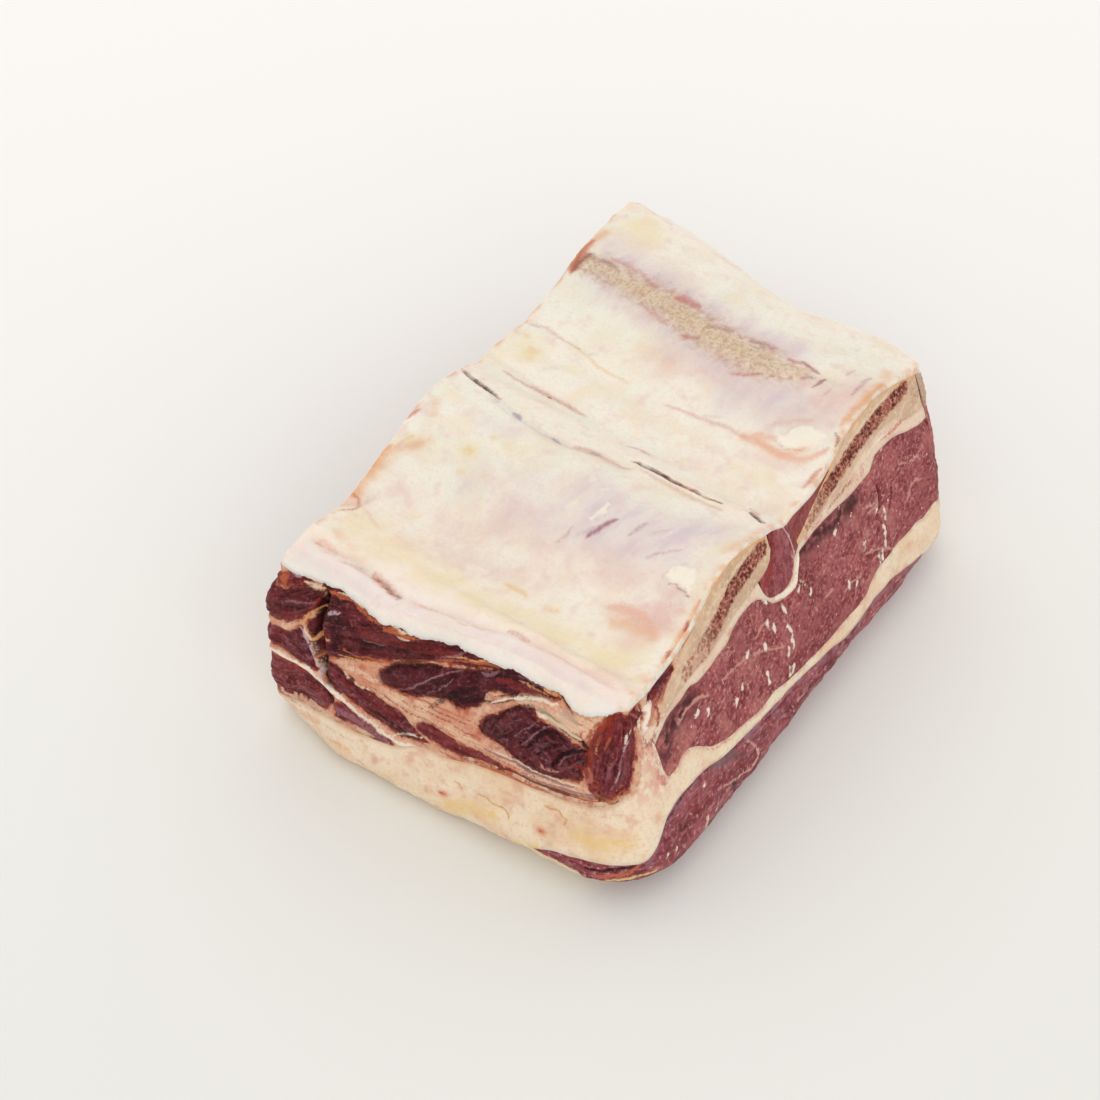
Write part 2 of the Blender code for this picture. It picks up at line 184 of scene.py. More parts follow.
class Skin:
    """The closed skin of one layer of the block: its vertices by a, s and c (0 on its floor, 1 on its roof)
    and its faces. The steps between vertices are in centimetres."""

    def __init__(self, span, floor, roof, step, front=0.6, back=0.6, thick=None, s_lines=None, grid=False):
        self.keys, self.quads, self.tris = [], [], []
        s = steps(span[0], span[1], step) if s_lines is None else s_lines
        a_front, a_back = steps(0, 1, front / LENGTH), steps(0, 1, back / LENGTH)
        probe_a, probe_s = np.meshgrid(np.linspace(0, 1, 9), s, indexing="ij")
        thickest = (roof(probe_s, probe_a) - floor(probe_s, probe_a)).max()
        c = np.linspace(0, 1, max(2, int(round(thickest / (thick or step)))) + 1)
        self.patch(1.0, s, c, axis=0)
        self.patch(0.0, s, c, axis=0, flip=True)
        self.patch(span[0], a_front, c, axis=1)
        self.patch(span[1], a_back, c, axis=1, flip=True)
        self.cap(s, a_front, a_back, 0.0)
        if grid:
            self.patch(1.0, a_front, s, axis=2)
        else:
            self.cap(s, a_front, a_back, 1.0)
        keys = np.concatenate(self.keys)
        whole = np.round(keys * (1e6, 1e5, 1e5)).astype(np.int64)
        _, first, index = np.unique(whole, axis=0, return_index=True, return_inverse=True)
        index = index.reshape(-1)
        self.a, self.s, self.c = keys[first].T
        self.quads = index[np.concatenate(self.quads)]
        self.tris = index[np.concatenate(self.tris)] if self.tris else np.zeros((0, 3), int)
        low, high = floor(self.s, self.a), roof(self.s, self.a)
        high = np.maximum(high, low + 0.02)
        self.z = low + (high - low) * self.c
        self.flat = place(self.a, self.s, self.z)
        self.points = uneven(self.flat)
        self.right, self.left = self.a > 1 - 1e-7, self.a < 1e-7
        self.front = self.s < span[0] + 1e-6
        self.rim = np.minimum(self.c, 1 - self.c) * (high - low)  # distance to the layer above or below
        self.above, self.below = (1 - self.c) * (high - low), self.c * (high - low)

    def add(self, keys, faces, flip):
        start = sum(len(k) for k in self.keys)
        self.keys.append(keys)
        faces = faces[:, ::-1] if flip else faces
        (self.quads if faces.shape[1] == 4 else self.tris).append(faces + start)

    def patch(self, fixed, first, second, axis, flip=False):
        u, v = np.meshgrid(first, second, indexing="ij")
        w = np.full_like(u, fixed)
        keys = {0: (w, u, v), 1: (u, w, v), 2: (u, v, w)}[axis]
        i, j = np.meshgrid(np.arange(len(first) - 1), np.arange(len(second) - 1), indexing="ij")
        base = (i * len(second) + j).ravel()
        faces = np.stack([base, base + len(second), base + len(second) + 1, base + 1], axis=1)
        self.add(np.stack([k.ravel() for k in keys], axis=1), faces, flip)

    def cap(self, s, a_front, a_back, c):
        """A face between two layers: as fine as its edges ask, and coarse inside."""
        edge = np.concatenate([
            np.stack([a_front[:-1], np.full(len(a_front) - 1, s[0])], 1),
            np.stack([np.ones(len(s) - 1), s[:-1]], 1),
            np.stack([a_back[:0:-1], np.full(len(a_back) - 1, s[-1])], 1),
            np.stack([np.zeros(len(s) - 1), s[:0:-1]], 1),
        ])
        a_lines, s_lines = steps(0.05, 0.95, 0.07), steps(s[0] + 0.3, s[-1] - 0.3, 0.7)
        inner = np.stack(np.meshgrid(a_lines, s_lines), -1).reshape(-1, 2)
        points = np.concatenate([edge, inner]) * (LENGTH, 1)
        ring = [(i, (i + 1) % len(edge)) for i in range(len(edge))]
        out = delaunay_2d_cdt([Vector(p) for p in points], ring, [], 0, 1e-7)
        flat, faces = np.array([tuple(p) for p in out[0]]), np.array([f for f in out[2] if len(f) == 3])
        p, q, r = (flat[faces[:, k]] for k in range(3))
        turn = np.cross(q - p, r - p)
        faces = faces[np.abs(turn) > 1e-9]
        turn = turn[np.abs(turn) > 1e-9]
        faces[turn < 0] = faces[turn < 0][:, ::-1]
        keys = np.concatenate([flat / (LENGTH, 1), np.full((len(flat), 1), c)], axis=1)
        self.add(keys, faces, c == 0)

    def normals(self):
        total = np.zeros((len(self.points), 3))
        for faces in (self.quads, self.tris):
            corners = self.points[faces]
            turn = np.cross(corners[:, 2] - corners[:, 0], corners[:, -1] - corners[:, 1])
            for k in range(faces.shape[1]):
                for axis in range(3):
                    total[:, axis] += np.bincount(faces[:, k], turn[:, axis], len(total))
        return total / np.maximum(np.linalg.norm(total, axis=1), 1e-12)[:, None]

    def mesh(self, name, fields, relief):
        """The finished object: the skin raised by relief, in centimetres, with its fields as attributes."""
        points = self.points + self.normals() * relief[:, None]
        points[:, 2] = np.maximum(points[:, 2], 0)
        mesh = bpy.data.meshes.new(name)
        mesh.vertices.add(len(points))
        mesh.vertices.foreach_set("co", (points * CM).ravel())
        loops = np.concatenate([self.quads.ravel(), self.tris.ravel()])
        sizes = np.concatenate([np.full(len(self.quads), 4), np.full(len(self.tris), 3)])
        mesh.loops.add(len(loops))
        mesh.loops.foreach_set("vertex_index", loops)
        mesh.polygons.add(len(sizes))
        mesh.polygons.foreach_set("loop_start", np.concatenate([[0], np.cumsum(sizes)[:-1]]))
        mesh.polygons.foreach_set("loop_total", sizes)
        mesh.update(calc_edges=True)
        mesh.validate()
        mesh.shade_smooth()
        mesh.set_sharp_from_angle(angle=np.radians(55))
        for key, values in fields.items():
            kind = "FLOAT" if values.ndim == 1 else "FLOAT_VECTOR"
            data = mesh.attributes.new(key, kind, "POINT").data
            data.foreach_set("value" if values.ndim == 1 else "vector", values.astype(np.float32).ravel())
        obj = bpy.data.objects.new(name, mesh)
        bpy.context.scene.collection.objects.link(obj)
        return obj


def curve_through(points, parts=5):
    """Points on a smooth line through the given ones. A path holds the u and v of each point in turn."""
    p = np.reshape(points, (-1, 2))
    if len(p) < 3:
        return p
    ends = np.concatenate([[2 * p[0] - p[1]], p, [2 * p[-1] - p[-2]]])
    t = np.linspace(0, 1, parts, endpoint=False)[:, None]
    out = []
    for a, b, c, d in zip(ends, ends[1:], ends[2:], ends[3:]):
        square, cube = 2 * a - 5 * b + 4 * c - d, 3 * b - 3 * c + d - a
        out.append(0.5 * (2 * b + (c - a) * t + square * t**2 + cube * t**3))
    return np.concatenate(out + [p[-1:]])


def off_line(u, v, points, curved=True):
    """Distance of (u, v) from a line through points, how far along it that is (0 to 1), and the side."""
    path = curve_through(points) if curved else points
    best, where, side = np.full(u.shape, 1e9), np.zeros(u.shape), np.ones(u.shape)
    lengths = np.hypot(*np.diff(path, axis=0).T)
    ends = np.concatenate([[0], np.cumsum(lengths)])
    for k, (p, q) in enumerate(zip(path, path[1:])):
        d = q - p
        t = np.clip(((u - p[0]) * d[0] + (v - p[1]) * d[1]) / max(d @ d, 1e-12), 0, 1)
        gap = np.hypot(u - p[0] - t * d[0], v - p[1] - t * d[1])
        nearer = gap < best
        best = np.where(nearer, gap, best)
        where = np.where(nearer, (ends[k] + t * lengths[k]) / ends[-1], where)
        side = np.where(nearer, np.sign(d[0] * (v - p[1]) - d[1] * (u - p[0])), side)
    return best, where, side


def close_to(u, v, points, reach):
    """Which of (u, v) lie within reach of the box round some points."""
    points = np.reshape(points, (-1, 2))
    low, high = points.min(axis=0) - reach, points.max(axis=0) + reach
    return np.flatnonzero((u > low[0]) & (u < high[0]) & (v > low[1]) & (v < high[1]))


def ground(s, a):
    return 0 * s


def fat_floor(s, a):
    bare = FRONT + along(a, BASE_REACH)
    front = along(a, BASE_FRONT_TOP)
    height = front + (along(s, SEAM_FLOOR) - front) * smooth(s, FRONT, FAT_COLUMN[1])
    return BASE_EDGE + (height - BASE_EDGE) * smooth(s, bare - 1.4, bare)


def srgb(*colour):
    """Colour as seen on a screen, 0 to 255, to the shader's linear values."""
    c = np.array(colour) / 255
    return (*np.where(c < 0.04045, c / 12.92, ((c + 0.055) / 1.055) ** 2.4), 1.0)


def node(tree, kind, inputs=None, **settings):
    """Adds a shader node. Inputs are values, screen colours or other nodes' sockets, by name or number."""
    made = tree.nodes.new(kind)
    for key, value in settings.items():
        setattr(made, key, value)
    for key, value in (inputs or {}).items():
        if isinstance(value, bpy.types.NodeSocket):
            tree.links.new(value, made.inputs[key])
        elif made.inputs[key].type == "RGBA":
            made.inputs[key].default_value = srgb(*value)
        else:
            made.inputs[key].default_value = value
    return made


def math(tree, operation, *values):
    return node(tree, "ShaderNodeMath", dict(enumerate(values)), operation=operation).outputs[0]


def times(tree, first, second):
    return math(tree, "MULTIPLY", first, second)


def mix(tree, share, first, second):
    return node(tree, "ShaderNodeMix", {0: share, 6: first, 7: second}, data_type="RGBA").outputs[2]


def ramp(tree, value, low, high, to_low=0.0, to_high=1.0):
    made = node(tree, "ShaderNodeMapRange", {0: value, 1: low, 2: high, 3: to_low, 4: to_high})
    made.interpolation_type = "SMOOTHSTEP"
    return made.outputs[0]


def texture(tree, place, scale, detail, **more):
    """A noise texture's value, 0 to 1, at a place."""
    inputs = {"Vector": place, "Scale": scale, "Detail": detail, **more}
    return node(tree, "ShaderNodeTexNoise", inputs).outputs[0]


def field(tree, name):
    return node(tree, "ShaderNodeAttribute", attribute_name=name).outputs["Fac"]


def vector(tree, name):
    return node(tree, "ShaderNodeAttribute", attribute_name=name).outputs["Vector"]


def shown(tree, name, share):
    """A field as a mask, of which that share shows."""
    return times(tree, field(tree, name), share)


def new_group(name, inputs, outputs):
    """A shader group. Its inputs are defaults by name, and its outputs are kinds by name."""
    tree = bpy.data.node_groups.new(name, "ShaderNodeTree")
    for key, value in inputs.items():
        kind = "Vector" if value is None else "Float" if isinstance(value, float) else "Color"
        socket = tree.interface.new_socket(key, in_out="INPUT", socket_type="NodeSocket" + kind)
        if value is not None:
            socket.default_value = srgb(*value) if kind == "Color" else value
    for key, kind in outputs.items():
        tree.interface.new_socket(key, in_out="OUTPUT", socket_type="NodeSocket" + kind)
    return tree, tree.nodes.new("NodeGroupInput").outputs, tree.nodes.new("NodeGroupOutput").inputs


def use(tree, group, **inputs):
    return node(tree, "ShaderNodeGroup", inputs, node_tree=group).outputs


# Muscle cut by saw or knife: strands along the grain, gathered in bundles, grains of pale fat between them
# and dark gaps. The gap colour is laid on the lowest tones, which are also the low points of the bump, so it
# is partly painted shade in the gaps and partly the meat's own darkest tone.
tree, given, result = new_group(
    "muscle",
    {
        "Flow": None, "Place": None, "Gap": (70, 26, 30), "Deep": (80, 30, 36), "Flesh": (125, 60, 66),
        "Light": (175, 120, 120), "Along": 1.2, "Across": 12.0, "Specks": 0.5, "Size": 8.0, "Grainy": 0.3,
    },
    {"Colour": "Color", "Height": "Float"},
)
scale = {0: given["Along"], 1: given["Across"], 2: given["Across"]}
scale = node(tree, "ShaderNodeCombineXYZ", scale).outputs[0]
grain = node(tree, "ShaderNodeVectorMath", {0: given["Flow"], 1: scale}, operation="MULTIPLY").outputs[0]
strands = texture(tree, grain, 1.0, 4.0, Roughness=0.65)
bundles = texture(tree, grain, 0.25, 2.0, Distortion=0.6)
specks = texture(tree, given["Place"], given["Size"], 4.0, Roughness=0.6)
coarse = texture(tree, given["Place"], 1.6, 3.0)
fibrous = math(tree, "ADD", times(tree, strands, 0.6), times(tree, bundles, 0.4))
mottled = math(tree, "ADD", times(tree, specks, 0.65), times(tree, coarse, 0.35))
tone = node(tree, "ShaderNodeMix", {0: given["Grainy"], 2: fibrous, 3: mottled}).outputs[0]
colour = mix(tree, ramp(tree, tone, 0.42, 0.56), given["Deep"], given["Flesh"])
# Painted shade: the gap colour where the tone, and with it the bump, is lowest
colour = mix(tree, ramp(tree, tone, 0.43, 0.36), colour, given["Gap"])
pale = times(tree, ramp(tree, strands, 0.56, 0.72), given["Specks"])
colour = mix(tree, pale, colour, given["Light"])
pale = times(tree, ramp(tree, specks, 0.57, 0.68), given["Specks"])
tree.links.new(mix(tree, pale, colour, given["Light"]), result["Colour"])
height = math(tree, "ADD", times(tree, strands, 0.6), times(tree, bundles, 0.5))
tree.links.new(math(tree, "ADD", height, times(tree, specks, 0.7)), result["Height"])
MUSCLE = tree

# Firm fat: clouds of two shades, with a waxy grain
tree, given, result = new_group(
    "fat",
    {"Place": None, "Cream": (238, 222, 192), "Warm": (232, 205, 165), "Pink": (228, 195, 180)},
    {"Colour": "Color", "Height": "Float"},
)
clouds = texture(tree, given["Place"], 0.9, 4.0, Distortion=0.5)
blush = texture(tree, given["Place"], 2.3, 4.0)
grain = texture(tree, given["Place"], 11.0, 4.0, Roughness=0.6)
colour = mix(tree, ramp(tree, clouds, 0.42, 0.66), given["Cream"], given["Warm"])
colour = mix(tree, ramp(tree, blush, 0.5, 0.78), colour, given["Pink"])
tree.links.new(mix(tree, ramp(tree, grain, 0.48, 0.7, 0.0, 0.5), colour, given["Pink"]), result["Colour"])
tree.links.new(math(tree, "ADD", times(tree, grain, 0.5), times(tree, blush, 0.8)), result["Height"])
FAT = tree

# A drawn distance, in centimetres, as a ragged-edged mask
tree, given, result = new_group(
    "ragged", {"Distance": 0.0, "Place": None, "Size": 9.0, "Wobble": 0.05, "Soft": 0.02}, {"Mask": "Float"}
)
waves = texture(tree, given["Place"], given["Size"], 3.0)
shift = times(tree, math(tree, "SUBTRACT", waves, 0.5), times(tree, given["Wobble"], 3.0))
moved = math(tree, "ADD", given["Distance"], shift)
tree.links.new(ramp(tree, moved, times(tree, given["Soft"], -1.0), given["Soft"]), result["Mask"])
RAGGED = tree


def ragged(tree, place, name, size, wobble, soft):
    """A drawn distance, kept as that attribute, as a mask with a ragged edge."""
    inputs = {"Distance": field(tree, name), "Place": place, "Size": size, "Wobble": wobble, "Soft": soft}
    return use(tree, RAGGED, **inputs)["Mask"]


# Brush marks over a colour: the marks' own colour already times how much they cover, and that cover
tree, given, result = new_group(
    "marks",
    {"Under": (128, 128, 128), "Marks": None, "Cover": 0.0, "Place": None, "Rough": 1.0, "Soft": 0.26},
    {"Colour": "Color"},
)
waves = texture(tree, given["Place"], 12.0, 5.0, Roughness=0.72)
torn_at = times(tree, ramp(tree, waves, 0.36, 0.64), given["Rough"])
left = math(tree, "SUBTRACT", given["Cover"], torn_at)
share = ramp(tree, left, times(tree, given["Soft"], -1.0), given["Soft"])
clear = math(tree, "SUBTRACT", 1.0, times(tree, share, given["Cover"]))
under = node(tree, "ShaderNodeVectorMath", {0: given["Under"], 3: clear}, operation="SCALE").outputs[0]
over = node(tree, "ShaderNodeVectorMath", {0: given["Marks"], 3: share}, operation="SCALE").outputs[0]
both = node(tree, "ShaderNodeVectorMath", {0: under, 1: over}, operation="ADD").outputs[0]
tree.links.new(both, result["Colour"])
MARKS = tree


def marked(tree, colour, place, **settings):
    """The colour with the piece's brush marks over it."""
    marks, cover = vector(tree, "marks"), field(tree, "cover")
    return use(tree, MARKS, Under=colour, Marks=marks, Cover=cover, Place=place, **settings)["Colour"]


# Random patches of a mask
tree, given, result = new_group(
    "patches", {"Place": None, "Size": 3.0, "Low": 0.45, "High": 0.65}, {"Mask": "Float"}
)
waves = texture(tree, given["Place"], given["Size"], 4.0)
tree.links.new(ramp(tree, waves, given["Low"], given["High"]), result["Mask"])
PATCHES = tree


def patchy(tree, place, size, low, high):
    """Random patches as a mask: higher levels leave fewer of them."""
    return use(tree, PATCHES, Place=place, Size=size, Low=low, High=high)["Mask"]


def material_for(piece, rough, sheen=0.0, soft=0.2, depth=0.002):
    """A moist, slightly translucent material on the piece: its tree, shader and place in centimetres."""
    material = bpy.data.materials.new(piece.name)
    material.use_nodes = True
    tree = material.node_tree
    shader = tree.nodes["Principled BSDF"]
    shader.inputs["Subsurface Weight"].default_value = soft
    shader.inputs["Subsurface Radius"].default_value = (1.0, 0.45, 0.3)
    shader.inputs["Subsurface Scale"].default_value = depth
    shader.inputs["Coat Weight"].default_value = sheen
    shader.inputs["Specular IOR Level"].default_value = 0.18
    shader.inputs["Coat Roughness"].default_value = 0.25
    coordinates = node(tree, "ShaderNodeTexCoord").outputs["Object"]
    place_cm = node(tree, "ShaderNodeVectorMath", {0: coordinates, 3: 100.0}, operation="SCALE").outputs[0]
    wet = patchy(tree, place_cm, 2.5, 0.3, 0.75)
    tree.links.new(ramp(tree, wet, 0.0, 1.0, rough[0], rough[1]), shader.inputs["Roughness"])
    piece.data.materials.append(material)
    return tree, shader, place_cm


def finish_material(tree, shader, colour, height, depth):
    """Links the colour and a bump of that depth in metres."""
    tree.links.new(colour, shader.inputs["Base Color"])
    bump = node(tree, "ShaderNodeBump", {"Strength": 1.0, "Distance": depth, "Height": height}).outputs[0]
    tree.links.new(bump, shader.inputs["Normal"])


def stained(tree, colour, stains):
    """The colour with each stain's colour over it, by that stain's mask."""
    for mask, stain in stains:
        colour = mix(tree, mask, colour, stain)
    return colour


def grain_of(u, v):
    """Flow attribute: centimetres along the grain and across it."""
    return np.stack([u, v, np.zeros_like(u)], axis=1)


# Hues of the brush marks. Some marks in them are painted light: dark marks in the cleft, creases, slits and
# fold, under the sheet's flap and flakes and on the front rib's lower edge are painted shade, and some thin
# white, lilac, mauve and grey lines are painted glints.
HUES = {
    "black": (26, 8, 9), "blood": (84, 18, 16), "red": (138, 44, 40), "ember": (156, 60, 38),
    "rust": (188, 100, 64), "orange": (222, 156, 104), "cream": (232, 208, 176), "white": (242, 228, 210),
    "lilac": (202, 178, 188), "mauve": (150, 106, 114), "pink": (214, 164, 152), "yellow": (228, 194, 134),
    "brown": (120, 72, 52), "grey": (112, 84, 84), "flesh": (190, 112, 98), "bone": (192, 164, 138),
    "wine": (160, 100, 114), "slate": (158, 148, 160), "salmon": (228, 176, 152), "peach": (206, 168, 146),
}


def brush(piece, u, v, marks, where=1.0, spread=0.0):
    """Marks on a skin, each as its hue, strength, half width and path. Gives the marks' colour times their
    cover, that cover, and the relief that they make."""
    u = u + 0.035 * noise(piece.points, 0.3, 200)
    v = v + 0.035 * noise(piece.points, 0.3, 201)
    shade, cover = np.zeros((len(u), 3)), np.zeros(len(u))
    for hue, strength, half, *path in marks:
        near = close_to(u, v, path, (2 + spread) * half)
        gap, share, _ = off_line(u[near], v[near], path)
        width = half * (0.45 + 0.55 * np.sqrt(np.sin(np.pi * share)))
        mark = strength * smooth(-gap / width, -1.5 - spread, spread - 0.5)
        shade[near] += (np.array(srgb(*HUES[hue])[:3]) - shade[near]) * mark[:, None]
        cover[near] += (1 - cover[near]) * mark
    shade, cover = shade * np.reshape(where, (-1, 1)), cover * where
    level = shade.mean(axis=1) / np.maximum(cover, 1e-6)
    # Dark marks lie a little deeper than the meat round them, and pale ones stand out
    return shade, cover, cover * np.interp(level, (0.01, 0.06, 0.2, 0.7), (-0.06, -0.02, 0, 0.03))


base = Skin((FRONT, BACK), ground, fat_floor, 0.055, front=0.055, back=0.08, thick=0.055)
x, y, z = base.flat.T
side = base.right | base.left
lower = along(x, ((1.9, 0.74), (2.3, 0.84), (3.0, 0.86), (3.4, 0.94), (4.1, 0.9), (4.35, 0.45), (4.6, 0)))
on_front = (base.s < FRONT + 0.02) & (base.a < 0.985)
behind = base.s - FRONT - along(base.a, BASE_REACH) + 0.5 * (base.a > 0.9)
flesh = np.where(on_front, np.minimum(x - 1.9, z - lower), behind)
fields = {
    "flesh": np.clip(flesh, -1, 1),
    "grain": grain_of(x + y + 0.35 * z, z + 0.12 * (y - x)),
    "membrane": smooth(-base.above, -0.35, -0.02) * side,
}
FOOT_MARKS = (
    ("grey", 0.75, 0.16, -5.1, 2.42, -4.63, 2.2, -3.95, 1.9),
    ("grey", 0.5, 0.12, -4.6, 2, -4, 1.75, -3.6, 1.5),
    ("pink", 0.9, 0.045, -3.54, 1.96, -3.29, 1.61, -3.13, 1.24, -3.25, 0.98, -3.63, 0.97, -4.24, 1.23,
     -4.81, 1.47), ("red", 0.5, 0.1, -4.45, 1.55, -4.9, 1.7, -5.3, 1.95),
    ("red", 0.6, 0.1, -3.6, 1.3, -3.9, 1.45, -4.2, 1.6),
    ("black", 0.8, 0.11, -4.35, 1.15, -4.2, 0.9, -4.25, 0.65), ("mauve", 0.7, 0.07, -4.7, 1.3, -4.55, 1),
    # Painted shade: the black line in the crevice just under the fat seam
    ("black", 0.75, 0.05, -5.43, 2.42, -5.82, 2.45, -6.23, 2.42, -6.75, 2.28, -7.31, 2),
    ("blood", 0.7, 0.035, -3.2, 1.9, -2.4, 1.78, -1.6, 1.68, -0.6, 1.58),
    ("ember", 0.5, 0.09, 2.2, 1.25, 3.6, 1.3, 4.6, 1.05),
    ("red", 0.5, 0.16, -5.98, 1.91, -5.4, 1.6, -5.6, 1.2),
    ("blood", 0.8, 0.05, -6.38, 1.85, -6.1, 1.45, -6, 1.1),
    ("blood", 0.5, 0.14, -7, 1.9, -6.7, 1.5, -6.9, 1.1), ("white", 0.9, 0.07, -5.36, 2.1, -5.44, 2.05),
    ("white", 0.9, 0.06, -6.5, 1.33, -6.6, 1.25), ("white", 0.85, 0.06, -6.9, 1.4, -7, 1.33),
    ("cream", 0.9, 0.07, -5.49, 1.19, -5.56, 0.87), ("white", 0.7, 0.05, -5.1, 1.15, -5.2, 1),
    ("mauve", 0.6, 0.07, -2.2, 1.5, -1.7, 1.2, -1.3, 0.8), ("mauve", 0.5, 0.06, -0.9, 1.4, -0.4, 1),
    ("blood", 0.6, 0.06, 0.4, 1.2, 0.9, 0.95, 1.5, 0.9), ("pink", 0.4, 0.06, 1.2, 0.9, 1.9, 0.7, 2.6, 0.8),
)
foot = brush(base, base.s, z, FOOT_MARKS, side)
CORNER_MARKS = (
    ("black", 0.9, 0.06, -4.4, 1.2, -3.9, 1.2, -3.43, 1.27, -3, 1.33, -2.65, 1.42),
    ("rust", 0.9, 0.08, -4.1, 1.02, -3.6, 1.06, -3.09, 1.14, -2.78, 1.25, -2.5, 1.45),
    ("yellow", 0.85, 0.06, -3.95, 0.86, -3.51, 0.9, -2.98, 1, -2.58, 1.08, -2.12, 1.05, -1.7, 1.1),
    ("black", 0.85, 0.05, -4.7, 0.95, -4.35, 0.92, -4.15, 0.7),
    ("black", 0.8, 0.035, -4, 0.68, -3.48, 0.72, -3.1, 0.8),
    ("red", 0.6, 0.07, -2.5, 1.3, -2.2, 1.5, -2, 1.75),
)
corner = brush(base, x + y, z, CORNER_MARKS, ((x > 2.5) & (y < -5.5)) * 1.0)
fields["marks"] = foot[0] * (1 - corner[1])[:, None] + corner[0]
fields["cover"] = foot[1] + corner[1] - foot[1] * corner[1]
lumps = 0.05 * noise(base.points, 0.7, 20) + 0.015 * noise(base.points, 0.2, 21)
relief = lumps * smooth(base.above, 0, 0.15) * smooth(z, 0, 0.3) - 0.005 * bell(base.above, 0.06)
relief += (foot[2] + corner[2]) * smooth(z, 0, 0.3)
base_muscle = base.mesh("base_meat", fields, relief)
tree, shader, here = material_for(base_muscle, (0.4, 0.6), soft=0.1)
meat = use(
    tree, MUSCLE, Flow=vector(tree, "grain"), Place=here, Gap=(74, 26, 30), Deep=(112, 46, 52),
    Flesh=(158, 84, 90), Light=(212, 162, 160), Along=1.6, Across=7.0, Specks=0.6, Grainy=0.5,
)
fat = use(tree, FAT, Place=here, Cream=(230, 209, 174), Warm=(221, 190, 146), Pink=(208, 164, 132))
mask = ragged(tree, here, "flesh", 6.0, 0.05, 0.03)
colour = stained(tree, meat["Colour"], [
    (shown(tree, "membrane", patchy(tree, here, 3.0, 0.4, 0.6)), (150, 105, 118)),
])
colour = marked(tree, colour, here)
colour = mix(tree, mask, fat["Colour"], colour)
finish_material(tree, shader, colour, meat["Height"], 0.0006)
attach(base_muscle, "root")
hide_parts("base_muscle")

# ------------------------------
# Fat seam: firm fat under the main muscle, thick along the front knife cut, with an upright column near that
# cut that reaches up to the front rib. Cut fat, cream, with yellow edges and thin orange veins.
# ------------------------------
FRONT_FAT_TOP = (
    (0, 0.8), (0.06, 1.03), (0.1, 1.28), (0.135, 1.37), (0.2, 1.5), (0.275, 1.56), (0.31, 1.64), (0.37, 1.78),
    (0.42, 2.09), (0.46, 2.22), (0.5, 2.26), (0.545, 2.42), (0.59, 2.55), (0.67, 2.67), (0.76, 2.74),
    (0.84, 2.86), (0.89, 2.97), (0.94, 3.15), (0.97, 3.36), (1, 3.6),
)
COLUMN_TOP, COLUMN_CAP = (4.21, 4.47), 0.43
SEAM_TOP = (
    (-6.6, 4.3), (-6.5, 3.55), (-6.35, 3.24), (-6.09, 3.22), (-5.79, 3.34), (-5.56, 3.32), (-5.27, 3.16),
    (-4.69, 2.74), (-3.96, 2.49), (-3.25, 2.35), (-2.54, 2.23), (-2.06, 2.29), (-1.31, 2.09), (-0.45, 1.98),
    (0.28, 1.89), (1.01, 1.82), (1.84, 1.81), (2.46, 1.84), (2.78, 2.0), (3.26, 2.13), (4.58, 2.13),
    (5.29, 2.13), (5.76, 2.03), (6.32, 2.09), (7.0, 1.95), (7.74, 1.65),
)


def between(a, pair):
    """The value at station a of something that runs evenly from the left end to the right."""
    return pair[0] + (pair[1] - pair[0]) * a


def fat_top(s, a):
    ridge = between(a, COLUMN_TOP)
    before = along(a, FRONT_FAT_TOP)
    before = before + (ridge - before) * smooth(s, FRONT, FAT_COLUMN[0])
    behind = along(s, SEAM_TOP) + (ridge - 4.3) * smooth(-s, 6.5, 6.6)
    return np.where(s < FAT_COLUMN[0], before, np.where(s < FAT_COLUMN[1], ridge, behind))


def band(u, v, points, width):
    """1 on a line through points, fading to 0 over about that width."""
    near = close_to(u, v, points, 3 * width)
    out = np.zeros(u.shape)
    out[near] = bell(off_line(u[near], v[near], points)[0], width)
    return out


def strokes(u, v, paths, where=1.0):
    """Signed distance from the nearest of some lines, and how much of it is there, for the stroke group."""
    best, signed, there = np.full(u.shape, 9.0), np.full(u.shape, 0.3), np.zeros(u.shape)
    for path in paths:
        near = close_to(u, v, path, 0.3)
        gap, share, turn = off_line(u[near], v[near], path)
        near, gap, share, turn = (k[gap < best[near]] for k in (near, gap, share, turn))
        best[near], signed[near] = gap, np.clip(gap * turn, -0.3, 0.3)
        there[near] = smooth(-gap, -0.22, -0.14) * smooth(share, 0, 0.05) * smooth(1 - share, 0, 0.05)
    return np.stack([signed, there * where, 0 * signed], axis=1)


# A thin line drawn as signed distance from it (X) and how much of it is there (Y)
tree, given, result = new_group(
    "stroke", {"Stroke": None, "Place": None, "Half": 0.03, "Wobble": 0.04, "Soft": 0.02}, {"Mask": "Float"}
)
parts = node(tree, "ShaderNodeSeparateXYZ", {0: given["Stroke"]}).outputs
waves = texture(tree, given["Place"], 7.0, 3.0)
shift = times(tree, math(tree, "SUBTRACT", waves, 0.5), times(tree, given["Wobble"], 3.0))
off = math(tree, "ABSOLUTE", math(tree, "ADD", parts[0], shift))
broken = times(tree, given["Half"], ramp(tree, waves, 0.35, 0.6, 1.4, 0.6))
ink = ramp(tree, math(tree, "SUBTRACT", broken, off), times(tree, given["Soft"], -1.0), given["Soft"])
tree.links.new(times(tree, ink, parts[1]), result["Mask"])
STROKE = tree


def stroke(tree, place, name, **sizes):
    """The lines drawn by strokes, kept as that attribute, as a mask."""
    return use(tree, STROKE, Stroke=vector(tree, name), Place=place, **sizes)["Mask"]


